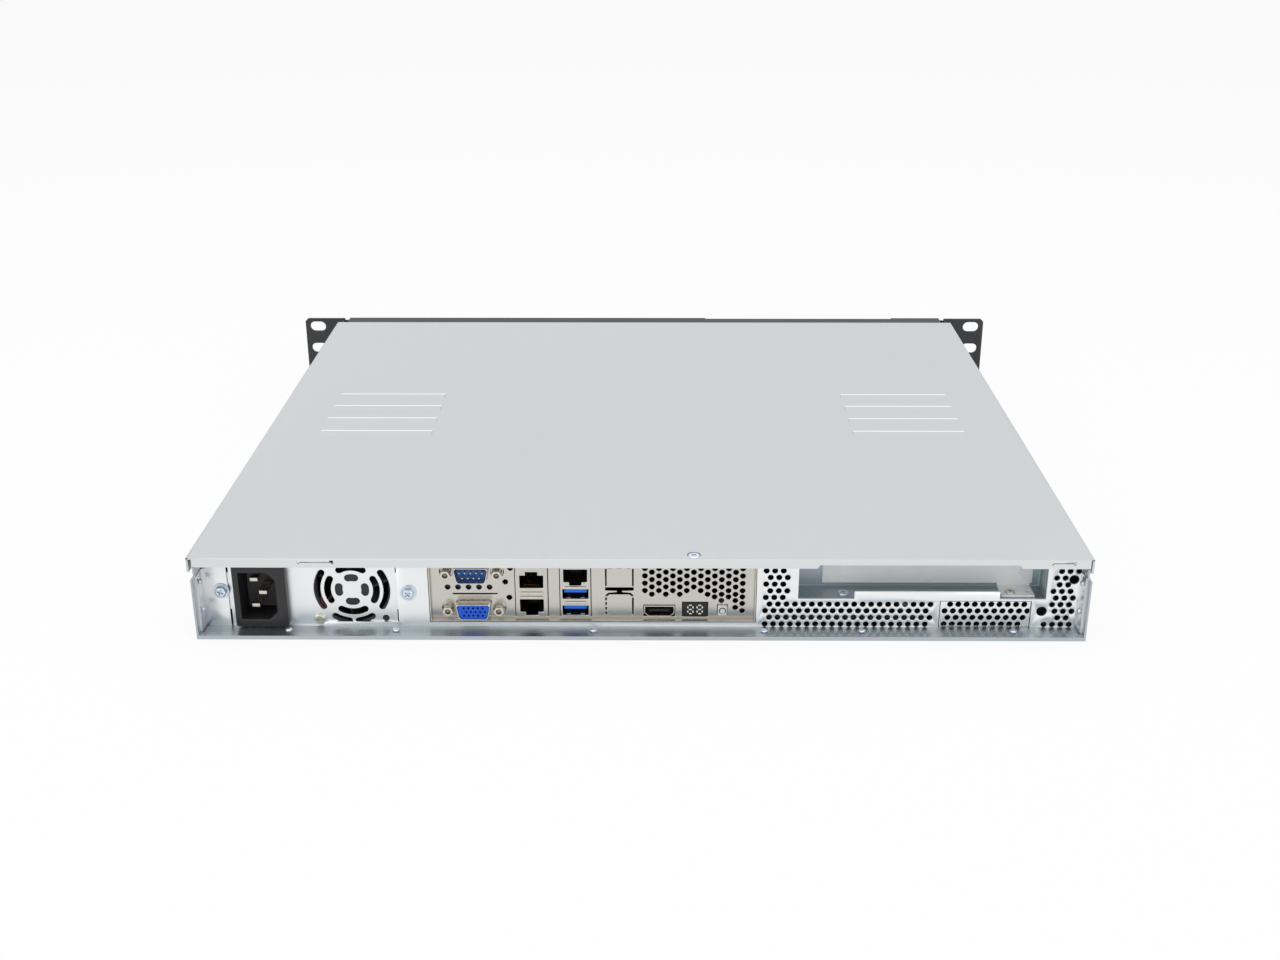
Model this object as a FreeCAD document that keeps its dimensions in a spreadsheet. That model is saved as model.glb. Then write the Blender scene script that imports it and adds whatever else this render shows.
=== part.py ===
import FreeCAD, Part
import math
import os

import Sketcher

# A one-unit rack server: a shallow steel tray with a screwed cover, two rack ears,
# a small power supply, a mainboard behind an I/O shield, an expansion pocket, three
# fans, one hard drive and a slim optical drive.
#
# Frame: millimetres, +Z up, the rear face looks along +Y and the rack ears face -Y.
# The origin is on the ground under the middle of the whole part.

doc = FreeCAD.newDocument("rack_server")
sheet = doc.addObject("Spreadsheet::Sheet", "Sizes")


# ---------------------------------------------------------------- sizes

class Size:
    """A number together with the sheet expression that gives it."""

    def __init__(self, number, text):
        self.number = float(number)
        self.text = text

    def __add__(self, other):
        other = as_size(other)
        return Size(self.number + other.number, f"({self.text} + {other.text})")

    def __sub__(self, other):
        other = as_size(other)
        return Size(self.number - other.number, f"({self.text} - {other.text})")

    def __mul__(self, other):
        other = as_size(other)
        return Size(self.number * other.number, f"({self.text} * {other.text})")

    def __truediv__(self, other):
        other = as_size(other)
        return Size(self.number / other.number, f"({self.text} / {other.text})")

    def __neg__(self):
        return Size(-self.number, f"(-1 * {self.text})")

    def __radd__(self, other):
        return as_size(other) + self

    def __rsub__(self, other):
        return as_size(other) - self

    def __rmul__(self, other):
        return as_size(other) * self

    def __float__(self):
        return self.number


def as_size(value):
    if isinstance(value, Size):
        return value
    return Size(value, f"({float(value):.6f})")


def size(alias, number, note):
    """Write one driving dimension into the sheet and hand it back."""
    size.row += 1
    cell = f"B{size.row}"
    sheet.set(f"A{size.row}", note)
    sheet.set(cell, str(number))
    sheet.setAlias(cell, alias)
    return Size(sheet.getContents(cell), f"Sizes.{alias}")


size.row = 0


def bind(feature, path, value):
    feature.setExpression(path, as_size(value).text)


def move(feature, x=0, y=0, z=0):
    """Tie a feature's place to the sheet."""
    bind(feature, ".Placement.Base.x", x)
    bind(feature, ".Placement.Base.y", y)
    bind(feature, ".Placement.Base.z", z)


# ---------------------------------------------------------------- sketches

class Circle:
    def __init__(self, u, v, radius):
        self.centre = (as_size(u), as_size(v))
        self.radius = as_size(radius)


class Sector:
    """A slot bent round a centre, between two radii and two angles in degrees."""

    def __init__(self, u, v, inner, outer, start, end):
        self.centre = (as_size(u), as_size(v))
        self.inner = as_size(inner)
        self.outer = as_size(outer)
        self.start = math.radians(start)
        self.end = math.radians(end)

    def steps(self):
        u, v = self.centre

        def rim(radius, angle):
            return (u + radius * math.cos(angle), v + radius * math.sin(angle))

        return [
            (rim(self.inner, self.start), None),
            (rim(self.outer, self.start), (self.outer, self.centre)),
            (rim(self.outer, self.end), None),
            (rim(self.inner, self.end), (self.inner, self.centre)),
        ]


def rectangle(u, v, radius=None):
    """The corners of a rectangle between two u and two v, rounded if a radius is given."""
    bend = () if radius is None else (radius,)
    return [(u[0], v[0], *bend), (u[1], v[0], *bend), (u[1], v[1], *bend), (u[0], v[1], *bend)]


def ngon(u, v, radius, sides):
    """A round outline drawn with few faces: a regular polygon of the given radius."""
    radius = as_size(radius)
    turns = [math.tau * (step + 0.5) / sides for step in range(sides)]
    return [(u + radius * math.cos(turn), v + radius * math.sin(turn)) for turn in turns]


def heading(start, end):
    """The direction of a run along u or v, as two signs."""
    run = (float(end[0]) - float(start[0]), float(end[1]) - float(start[1]))
    if abs(run[0]) > abs(run[1]):
        return (math.copysign(1, run[0]), 0)
    return (0, math.copysign(1, run[1]))


def outline_steps(corners):
    """Turn corners (u, v) or (u, v, radius) into points, each with the arc that follows it."""
    steps = []
    for index, corner in enumerate(corners):
        u, v = as_size(corner[0]), as_size(corner[1])
        if len(corner) == 2:
            steps.append(((u, v), None))
            continue
        radius = as_size(corner[2])
        back = heading(corner, corners[index - 1])
        onward = heading(corner, corners[(index + 1) % len(corners)])
        centre = (u + radius * (back[0] + onward[0]), v + radius * (back[1] + onward[1]))
        steps.append(((u + radius * back[0], v + radius * back[1]), (radius, centre)))
        steps.append(((u + radius * onward[0], v + radius * onward[1]), None))
    return steps


def flat_point(point):
    return FreeCAD.Vector(float(point[0]), float(point[1]), 0)


def draw_arc(sketch, start, end, arc):
    """Add an arc and say which of its two ends is the starting one."""
    radius, centre = arc
    middle = flat_point(centre)
    spokes = [flat_point(point) - middle for point in (start, end)]
    angles = [math.atan2(spoke.y, spoke.x) for spoke in spokes]
    circle = Part.Circle(middle, FreeCAD.Vector(0, 0, 1), float(radius))
    forward = spokes[0].cross(spokes[1]).z > 0
    first, last = angles if forward else reversed(angles)
    edge = sketch.addGeometry(Part.ArcOfCircle(circle, first, last))
    rule = sketch.addConstraint(Sketcher.Constraint("Radius", edge, float(radius)))
    bind(sketch, f"Constraints[{rule}]", radius)
    return edge, (1, 2) if forward else (2, 1)


def pin_point(sketch, edge, end, point):
    for kind, value in zip(("DistanceX", "DistanceY"), point):
        rule = sketch.addConstraint(Sketcher.Constraint(kind, -1, 1, edge, end, float(value)))
        bind(sketch, f"Constraints[{rule}]", value)


def draw_steps(sketch, steps):
    """Draw a closed outline, its points pinned to the sheet's sizes."""
    edges = []
    for index, (start, arc) in enumerate(steps):
        end = steps[(index + 1) % len(steps)][0]
        if (flat_point(start) - flat_point(end)).Length < 1e-6:
            continue
        if arc is None:
            edge = sketch.addGeometry(Part.LineSegment(flat_point(start), flat_point(end)))
            ends = (1, 2)
        else:
            edge, ends = draw_arc(sketch, start, end, arc)
        edges.append((edge, ends, start))
    for index, (edge, ends, start) in enumerate(edges):
        after, after_ends, _ = edges[(index + 1) % len(edges)]
        sketch.addConstraint(Sketcher.Constraint("Coincident", edge, ends[1], after, after_ends[0]))
        pin_point(sketch, edge, ends[0], start)


def draw(sketch, outline):
    if isinstance(outline, Circle):
        shape = Part.Circle(flat_point(outline.centre), FreeCAD.Vector(0, 0, 1), float(outline.radius))
        edge = sketch.addGeometry(shape)
        rule = sketch.addConstraint(Sketcher.Constraint("Radius", edge, float(outline.radius)))
        bind(sketch, f"Constraints[{rule}]", outline.radius)
        pin_point(sketch, edge, 3, outline.centre)
    elif isinstance(outline, Sector):
        draw_steps(sketch, outline.steps())
    else:
        draw_steps(sketch, outline_steps(outline))


# ---------------------------------------------------------------- bodies

# A sketch on XZ looks along -Y, one on XY or YZ along +Z or +X.
FLIPPED = {"XY": False, "YZ": False, "XZ": True}


def new_body(name):
    return doc.addObject("PartDesign::Body", name)


def origin_feature(body, role):
    return next(item for item in body.Origin.OriginFeatures if item.Role == role)


def sketch_on(body, plane, level, outlines):
    """A sketch parallel to one of the body's own planes, at a level along that plane's normal."""
    sketch = body.newObject("Sketcher::SketchObject", f"{body.Name}_sketch")
    sketch.AttachmentSupport = [(origin_feature(body, f"{plane}_Plane"), "")]
    sketch.MapMode = "FlatFace"
    bind(sketch, ".AttachmentOffset.Base.z", -as_size(level) if FLIPPED[plane] else level)
    for outline in outlines:
        draw(sketch, outline)
    return sketch


def pad(body, plane, span, *outlines):
    """Fill outlines over a span (low, high) along the plane's normal."""
    low, high = as_size(span[0]), as_size(span[1])
    feature = body.newObject("PartDesign::Pad", f"{body.Name}_pad")
    feature.Profile = sketch_on(body, plane, high if FLIPPED[plane] else low, outlines)
    bind(feature, "Length", high - low)
    body.Tip = feature
    return feature


def pocket(body, plane, span, *outlines):
    """Cut outlines over a span (low, high) along the plane's normal."""
    low, high = as_size(span[0]), as_size(span[1])
    doc.recompute()
    volume_before = body.Shape.Volume
    feature = body.newObject("PartDesign::Pocket", f"{body.Name}_pocket")
    feature.Profile = sketch_on(body, plane, low if FLIPPED[plane] else high, outlines)
    bind(feature, "Length", high - low)
    body.Tip = feature
    doc.recompute()
    if body.Shape.Volume > volume_before - 1e-6:
        raise RuntimeError(f"{feature.Name} cuts nothing")
    return feature


def run_of(body, axis, pitch, count):
    """A row of copies along one of the body's axes; a negative pitch runs backwards."""
    pitch = as_size(pitch)
    row = body.newObject("PartDesign::LinearPattern", f"{body.Name}_row")
    row.Direction = (origin_feature(body, f"{axis}_Axis"), [""])
    row.Reversed = pitch.number < 0
    row.Mode = "Spacing"
    bind(row, "Offset", -pitch if pitch.number < 0 else pitch)
    row.Occurrences = count
    return row


def repeat(body, features, *rows):
    """Repeat features along up to two rows, given as (axis, pitch, count)."""
    rows = [run_of(body, *row) for row in rows if row[2] > 1]
    if not rows:
        return
    grid = body.newObject("PartDesign::MultiTransform", f"{body.Name}_grid")
    grid.Originals = features
    grid.Transformations = rows
    body.Tip = grid
    doc.recompute()


# ---------------------------------------------------------------- plain parts

def block(name, x, y, z):
    """A block between two x, two y and two z."""
    item = doc.addObject("Part::Box", name)
    for path, span in (("Length", x), ("Width", y), ("Height", z)):
        bind(item, path, as_size(span[1]) - as_size(span[0]))
    move(item, x[0], y[0], z[0])
    return item


AXES = {"X": FreeCAD.Vector(1, 0, 0), "Y": FreeCAD.Vector(0, 1, 0), "Z": FreeCAD.Vector(0, 0, 1)}


def peg(name, axis, start, radius, length, sides=12):
    """A round bar from a start point along +X, +Y or +Z, drawn with few flat sides."""
    item = doc.addObject("Part::Prism", name)
    item.Polygon = sides
    item.Placement.Rotation = FreeCAD.Rotation(AXES["Z"], AXES[axis])
    bind(item, "Circumradius", radius)
    bind(item, "Height", length)
    move(item, *start)
    return item


def prism(name, axis, start, across, length):
    """A hexagonal bar from a start point along +X, +Y or +Z, from its width across flats."""
    return peg(name, axis, start, as_size(across) / math.sqrt(3), length, 6)


def hole_field(span, first, columns, rows, pitch, across):
    """Punches for a block of small vents through a wall that faces along Y.

    Each vent is drawn square, with the open area of a round one that is across wide.
    """
    depth = (as_size(span[0]) - 1, as_size(span[1]) + 1)
    reach = as_size(across) * math.sqrt(math.pi) / 4
    places = [(first[0] + pitch[0] * i, first[1] + pitch[1] * j) for i in range(columns) for j in range(rows)]
    return [block("punch", (x - reach, x + reach), depth, (z - reach, z + reach)) for x, z in places]


def hex_holes(span, places, across):
    """Hexagonal punches at places (x, z) through a wall that faces along Y."""
    start, depth = as_size(span[0]) - 1, as_size(span[1]) - span[0] + 2
    return [prism("punch", "Y", (x, start, z), across, depth) for x, z in places]


def cut(name, base, *tools):
    item = doc.addObject("Part::Cut", name)
    item.Base = base
    item.Tool = tools[0] if len(tools) == 1 else fuse(f"{name}_tools", *tools)
    return item


def fuse(name, *items):
    item = doc.addObject("Part::MultiFuse", name)
    item.Shapes = list(items)
    return item


def group(name, items):
    """Several separate solids kept under one name."""
    item = doc.addObject("Part::Compound", name)
    item.Links = list(items)
    return item


def perforated(name, wall, punches):
    """The wall with every punch taken out of it at once."""
    return cut(name, wall, group(f"{name}_punches", punches))


NODES = []


def node(name, feature):
    """Keep a finished piece as a node of its own."""
    feature.Label = name
    NODES.append(feature)
    return feature


# ---------------------------------------------------------------- driving dimensions

width = size("width", 432, "Chassis outside width")
height = size("height", 43.6, "Ground to the top of the cover")
ear_span = size("ear_span", 482.6, "Width over the two rack ears")
ear_sheet = size("ear_sheet", 2, "Rack ear sheet")
ear_lap = size("ear_lap", 28, "Length of an ear's leg inside the tray")
ear_corner = size("ear_corner", 2, "Corner of an ear, cut off at 45 degrees")
ear_edge = size("ear_edge", 0.2, "Ear set in from the chassis height, top and bottom")
slot_inset = size("slot_inset", 8.75, "Rack slot centres in from the ear's tip")
slot_rise = size("slot_rise", 15.875, "Rack slots, one above another")
slot_length = size("slot_length", 11, "Rack slot length")
slot_width = size("slot_width", 7, "Rack slot width")
button_travel = size("button_travel", 1, "Front buttons press in by this")
button_proud = size("button_proud", 1, "Front buttons stand out by this")

skin = size("skin", 1, "Tray sheet")
joggle = size("joggle", 1.6, "Tray sides step in under the cover flanges")
joggle_low = size("joggle_low", 32, "Height where the step starts")
joggle_rise = size("joggle_rise", 2, "Height that the step takes")
hem = size("hem", 3.5, "Folded edge of the tray floor at the rear")
rail_hole = size("rail_hole", 2.1, "Radius of the slide rail holes")
rail_spacing = size("rail_spacing", 250, "Slide rail holes, front to rear")
rail_height = size("rail_height", 18, "Slide rail holes above the ground")

cover_sheet = size("cover_sheet", 1, "Cover sheet")
cover_flange = size("cover_flange", 7.3, "Cover side flange, from the top")
cover_lip = size("cover_lip", 4.8, "Cover rear lip, from the top")
cover_raise = size("cover_raise", 1.8, "Lip cut back above the expansion pocket")
cover_gap = size("cover_gap", 0.3, "Free gap round the cover's edges")
lance_length = size("lance_length", 17.5, "Wide tongue slot in the lip")
lance_short = size("lance_short", 12, "Short tongue slot in the lip")
lance_width = size("lance_width", 0.9, "Tongue slot height")
louvre_length = size("louvre_length", 62, "Louvre length")
louvre_depth = size("louvre_depth", 10, "Louvre front to rear")
louvre_rise = size("louvre_rise", 0.6, "Louvre height above the cover")
louvre_pitch = size("louvre_pitch", 21.3, "Louvre spacing")
louvre_side = size("louvre_side", 120.2, "Louvres from the middle plane")
louvre_rear = size("louvre_rear", 172.5, "Rearmost louvre from the rear edge")

wall_recess = size("wall_recess", 12, "Rear wall set in from the rear edge")
wall_sheet = size("wall_sheet", 1, "Rear wall sheet")
wall_flange = size("wall_flange", 8, "Rear wall flanges on the floor and sides")
rivet_radius = size("rivet_radius", 1.5, "Rivet head radius")
rivet_height = size("rivet_height", 1.2, "Rivet head height")
rivet_inset = size("rivet_inset", 8, "Rivets in from the rear edge")
tab_reach = size("tab_reach", 7, "Half the width of the cover screw's tab")

vent_across = size("vent_across", 3, "Rear vent hole, across flats")
vent_pitch = size("vent_pitch", 4.145, "Rear vent holes along a row")
vent_step = size("vent_step", 3.62, "Rear vent rows, one above another")
vent_low = size("vent_low", 2.9, "Lowest rear vent row above the ground")
cable_hole = size("cable_hole", 5.2, "Large hole in the rear wall, across flats")
vent_first = size("vent_first", 139.8, "Lower vent field, first hole from the middle plane")
side_vent_first = size("side_vent_first", 69.4, "Field beside the ports, first hole from the middle plane")
corner_vent_first = size("corner_vent_first", 210.9, "Corner field, first hole from the middle plane")
plate_vent_first = size("plate_vent_first", 189.4, "Vent plate, first hole from the middle plane")
cable_low = size("cable_low", 196.4, "Lower cable hole from the middle plane")
cable_high = size("cable_high", 210.8, "Upper cable hole from the middle plane")
cable_rise = size("cable_rise", 27.4, "Upper cable hole above the ground")
plate_pitch = size("plate_pitch", 4.03, "Vent plate holes along a row")

psu_width = size("psu_width", 81.5, "Power supply width")
psu_depth = size("psu_depth", 150, "Power supply length")
psu_height = size("psu_height", 40.5, "Power supply height")
psu_sheet = size("psu_sheet", 0.8, "Power supply sheet")
psu_side = size("psu_side", 119.7, "Power supply from the middle plane")
psu_margin = size("psu_margin", 0.7, "Wall opening beyond the power supply")
psu_ear = size("psu_ear", 8, "Screw ears beyond the power supply's sides")
psu_ear_low = size("psu_ear_low", 9, "Screw ears above the power supply's floor")
psu_ear_tall = size("psu_ear_tall", 20, "Screw ear height")
psu_screw_left = size("psu_screw_left", 4.3, "Ear screw beyond the supply, high X side")
psu_screw_right = size("psu_screw_right", 6.1, "Ear screw beyond the supply, low X side")
psu_screw_rise = size("psu_screw_rise", 20.2, "Ear screws above the ground")
psu_pan_x = size("psu_pan_x", 158, "Case screw from the middle plane")
psu_pan_radius = size("psu_pan_radius", 2.9, "Case screw head radius")
psu_pan_gap = size("psu_pan_gap", 0.355, "Gap between the case screw head and the wall's step")
psu_pan_z = size("psu_pan_z", 5, "Case screw above the ground")
psu_fan = size("psu_fan", 38, "Power supply fan frame")
psu_fan_depth = size("psu_fan_depth", 20, "Power supply fan thickness")
psu_fan_side = size("psu_fan_side", 141.3, "Power supply fan from the middle plane")
inlet_wide = size("inlet_wide", 25.8, "Inlet housing width")
inlet_tall = size("inlet_tall", 33, "Inlet housing height")
inlet_side = size("inlet_side", 185.6, "Inlet from the middle plane")
inlet_rise = size("inlet_rise", 19, "Inlet above the ground")
inlet_proud = size("inlet_proud", 3.5, "Inlet face beyond the rear wall")
inlet_mouth = size("inlet_mouth", 17.8, "Inlet recess width")
inlet_reach = size("inlet_reach", 25, "Inlet recess height")
inlet_depth = size("inlet_depth", 15.5, "Inlet recess depth")

aperture_left = size("aperture_left", 103.8, "I/O opening, high X edge")
aperture_right = size("aperture_right", 56.7, "I/O opening, low X edge, from the middle plane")
aperture_low = size("aperture_low", 3.6, "I/O opening, bottom edge")
aperture_top = size("aperture_top", 41, "I/O opening, top edge")
shield_recess = size("shield_recess", 3, "I/O shield face behind the rear wall's face")
shield_sheet = size("shield_sheet", 0.5, "I/O shield sheet")
shield_hole = size("shield_hole", 2.8, "I/O shield vent hole, across flats")
shield_pitch = size("shield_pitch", 3.42, "I/O shield vent columns")
shield_step = size("shield_step", 4, "I/O shield vent rows")
port_gap = size("port_gap", 0.3, "Gap round a connector in the shield")
shield_vent_first = size("shield_vent_first", 2.1, "Shield vent columns, first one from the middle plane")
shield_vent_low = size("shield_vent_low", 9.5, "Shield vent rows are counted from this height")
port_vent_first = size("port_vent_first", 74.1, "Row of vents between the D-shells, first hole")
port_vent_pitch = size("port_vent_pitch", 5.15, "Row of vents between the D-shells, pitch")
port_vent_rise = size("port_vent_rise", 21.2, "Row of vents between the D-shells, above the ground")
blank_left = size("blank_left", 17.2, "Shield blanks, high X edge")
blank_right = size("blank_right", 3.8, "Shield blanks, low X edge")
blank_slit = size("blank_slit", 0.5, "Slit along a shield blank")

board_rise = size("board_rise", 3.9, "Mainboard underside above the ground")
board_sheet = size("board_sheet", 1.6, "Circuit board thickness")
board_left = size("board_left", 105, "Mainboard, high X edge")
board_wide = size("board_wide", 244, "Mainboard width")
board_long = size("board_long", 244, "Mainboard length")
board_setback = size("board_setback", 4, "Mainboard edge from the rear wall's face")

pocket_right = size("pocket_right", 198, "Expansion pocket, low X edge from the middle plane")
pocket_left = size("pocket_left", 77, "Expansion pocket, high X edge from the middle plane")
pocket_low = size("pocket_low", 16.7, "Expansion pocket floor above the ground")
pocket_depth = size("pocket_depth", 15, "Expansion pocket, wall to slot cover")
pocket_step = size("pocket_step", 3.7, "Wall stands higher in the middle of the pocket")
bracket_sheet = size("bracket_sheet", 1, "Expansion bracket sheet")

fan_size = size("fan_size", 38, "Chassis fan frame")
fan_depth = size("fan_depth", 20, "Chassis fan thickness")
fan_spacing = size("fan_spacing", 48, "Chassis fans, centre to centre")
fan_middle = size("fan_middle", 36, "Middle chassis fan from the middle plane")
fan_gap = size("fan_gap", 4, "Chassis fans in front of the mainboard")
bay_gap = size("bay_gap", 6.4, "Air gap between the hard drive and the chassis fans")

panel_sheet = size("panel_sheet", 1.5, "Front panel sheet")
panel_flange = size("panel_flange", 11, "Front panel top flange")
panel_side = size("panel_side", 3.2, "Front panel in from the chassis sides")
vent_slot = size("vent_slot", 7, "Front vent slot width")
vent_slot_pitch = size("vent_slot_pitch", 11.5, "Front vent slot pitch")
disc_left = size("disc_left", 45.5, "Optical drive, high X edge from the middle plane")
disc_wide = size("disc_wide", 128, "Optical drive width")
disc_long = size("disc_long", 127, "Optical drive length")
disc_high = size("disc_high", 12.7, "Optical drive height")
disc_rise = size("disc_rise", 28.5, "Optical drive above the ground")
drive_wide = size("drive_wide", 101.6, "Hard drive width")
drive_long = size("drive_long", 147, "Hard drive length")
drive_high = size("drive_high", 26.1, "Hard drive height")
drive_rise = size("drive_rise", 5, "Hard drive above the ground")
tray_sheet = size("tray_sheet", 1, "Sheet of the drive cradles and the fan bracket")

plate_left = size("plate_left", 146.4, "Vent plate opening, high X edge from the middle plane")
plate_right = size("plate_right", 191.3, "Vent plate opening, low X edge from the middle plane")
plate_low = size("plate_low", 1.2, "Vent plate opening, bottom edge")
plate_top = size("plate_top", 15.6, "Vent plate opening, top edge")
cover_screw_side = size("cover_screw_side", 25.6, "Cover screw from the middle plane")
cover_screw_inset = size("cover_screw_inset", 5, "Cover screw from the rear edge")
screw_hole = size("screw_hole", 1.6, "Clearance hole radius of the cover screw")
screw_head = size("screw_head", 3.1, "Cover screw head radius")

serial_x = size("serial_x", 82.6, "Serial port from the middle plane")
serial_z = size("serial_z", 29.6, "Serial port above the ground")
vga_x = size("vga_x", 82, "Video port from the middle plane")
vga_z = size("vga_z", 10, "Video port above the ground")
d_wide = size("d_wide", 17, "D-shell width")
d_tall = size("d_tall", 8.4, "D-shell height")
jack_spacing = size("jack_spacing", 25, "Jackscrew spacing")
jack_across = size("jack_across", 4.8, "Jackscrew, across flats")
jack_length = size("jack_length", 6, "Jackscrew length")
lan_x = size("lan_x", 53.5, "Twin network port from the middle plane")
lan_wide = size("lan_wide", 15.8, "Twin network port width")
usb_x = size("usb_x", 32, "Network and serial bus stack from the middle plane")
usb_wide = size("usb_wide", 15, "Network and serial bus stack width")
stack_top = size("stack_top", 33.2, "Top of the two port stacks above the ground")
stack_depth = size("stack_depth", 22, "Port stack depth")
socket_depth = size("socket_depth", 13, "Socket mouth depth")
hdmi_x = size("hdmi_x", -9.2, "Video socket from the middle plane")
hdmi_wide = size("hdmi_wide", 15, "Video socket width")
hdmi_top = size("hdmi_top", 11.5, "Video socket top above the ground")
code_x = size("code_x", -26.8, "Code display from the middle plane")
code_wide = size("code_wide", 12.2, "Code display width")
code_top = size("code_top", 13.1, "Code display top above the ground")
id_x = size("id_x", -40.2, "Locator button from the middle plane")
id_z = size("id_z", 9.1, "Locator button above the ground")
id_wide = size("id_wide", 4.5, "Locator button width")
id_tall = size("id_tall", 5.6, "Locator button height")

cpu_x = size("cpu_x", 35, "Processor from the middle plane")
cpu_inset = size("cpu_inset", 107.5, "Processor from the mainboard's rear edge")
socket_side = size("socket_side", 52, "Processor socket side")
lid_side = size("lid_side", 34, "Processor lid side")
socket_rise = size("socket_rise", 6, "Processor lid above the board")
sink_side = size("sink_side", 92, "Heatsink side")
fin_rise = size("fin_rise", 21, "Heatsink fin height")
memory_x = size("memory_x", -32, "First memory slot from the middle plane")
memory_pitch = size("memory_pitch", 9.5, "Memory slot pitch")
memory_inset = size("memory_inset", 55.5, "Memory slots from the mainboard's rear edge")
memory_long = size("memory_long", 144, "Memory slot length")
module_tall = size("module_tall", 30, "Memory module height")
slot_half = size("slot_half", 3.3, "Half the width of a card slot")
latch_half = size("latch_half", 2.1, "Half the width of a memory latch")
latch_pocket = size("latch_pocket", 6.5, "Latch well, along the slot")
shaft_gap = size("shaft_gap", 0.3, "Running gap between a rotor and its bearing plate")
riser_x = size("riser_x", -84, "Riser card from the middle plane")
riser_inset = size("riser_inset", 23.5, "Expansion slot from the mainboard's rear edge")
riser_long = size("riser_long", 89, "Expansion slot length")
riser_socket = size("riser_socket", 11, "Depth of the riser card's own socket")
cover_left = size("cover_left", 90, "Slot cover, high X edge from the middle plane")
cover_right = size("cover_right", 194, "Slot cover, low X edge from the middle plane")
foot_left = size("foot_left", 176.8, "Slot cover foot, high X edge from the middle plane")
foot_right = size("foot_right", 193, "Slot cover foot, low X edge from the middle plane")
power_x = size("power_x", 196, "Power button from the middle plane")
power_z = size("power_z", 26, "Power button above the ground")
power_radius = size("power_radius", 5, "Power button radius")
reset_x = size("reset_x", 196, "Reset button from the middle plane")
reset_z = size("reset_z", 12, "Reset button above the ground")
reset_radius = size("reset_radius", 2, "Reset button radius")
front_usb_x = size("front_usb_x", 150, "Front sockets from the middle plane")
front_usb_z = size("front_usb_z", 11, "Lower front socket above the ground")
front_usb_step = size("front_usb_step", 9, "Front sockets, one above the other")
light_x = size("light_x", 182, "First front light from the middle plane")
light_z = size("light_z", 32, "Front lights above the ground")
light_pitch = size("light_pitch", 6, "Front light pitch")
light_across = size("light_across", 2.6, "Front light, across flats")
front_board_right = size("front_board_right", 140, "Front board, low X edge")
front_board_wide = size("front_board_wide", 66, "Front board width")
front_board_depth = size("front_board_depth", 11, "Front board behind the panel's face")
eject_x = size("eject_x", -60, "Eject button from the middle plane")
drive_right = size("drive_right", -36, "Hard drive, low X edge from the middle plane")
drive_back = size("drive_back", 10, "Hard drive behind the panel's face")

# ---------------------------------------------------------------- planes and faces

half = width / 2
tray_top = height - cover_sheet
# Front to rear the machine is a row: drive bay, fans, mainboard, rear wall and recess.
bay_long = drive_back + drive_wide + bay_gap
run = bay_long + fan_depth + fan_gap + board_long + board_setback + wall_recess - ear_sheet
rear = (run + ear_sheet + button_proud) / 2
front = rear - run - ear_sheet
ear_back = front + ear_sheet
wall_face = rear - wall_recess
wall_back = wall_face - wall_sheet
inner_half = half - skin
board_rear = wall_face - board_setback
board_front = board_rear - board_long
board_top = board_rise + board_sheet
board_right = board_left - board_wide
shield_face = wall_face - shield_recess
shield_back = shield_face - shield_sheet
fan_face = board_front - fan_gap
fan_z = skin * 2 + fan_size / 2
front_board_face = front + front_board_depth
disc_front = front + panel_sheet + 1.6
drive_front = front + drive_back
cover_screw_x = -cover_screw_side
cover_screw_y = rear - cover_screw_inset
cpu_y = board_rear - cpu_inset
memory_rear = board_rear - memory_inset
riser_rear = board_rear - riser_inset
vent_stagger = vent_pitch / 2


# ---------------------------------------------------------------- chassis

def make_tray():
    """Floor and joggled sides, bent from one sheet, with a hemmed rear edge."""
    body = new_body("chassis_tray")
    step_top = joggle_low + joggle_rise
    outer = half - joggle
    right = [
        (half, 0),
        (half, joggle_low),
        (outer, step_top),
        (outer, tray_top),
        (outer - skin, tray_top),
        (outer - skin, step_top),
        (inner_half, joggle_low),
        (inner_half, skin),
    ]
    left = [(-as_size(x), z) for x, z in reversed(right)]
    pad(body, "XZ", (ear_back, rear), right + left)
    pad(body, "XY", (skin, skin * 2), rectangle((-inner_half, inner_half), (rear - hem, rear)))
    under_panel = rectangle((-half, half), (height - panel_sheet, height))
    pocket(body, "XZ", (ear_back, front + panel_flange), under_panel)
    behind_lip = rectangle((-half, half), (height - cover_lip - cover_gap, height))
    pocket(body, "XZ", (rear - cover_sheet - cover_gap, rear), behind_lip)
    holes = [Circle(side * rail_spacing / 2, rail_height, rail_hole) for side in (-1, 1)]
    pocket(body, "YZ", (-half, half), *holes)
    return node("chassis_tray", body)


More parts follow.
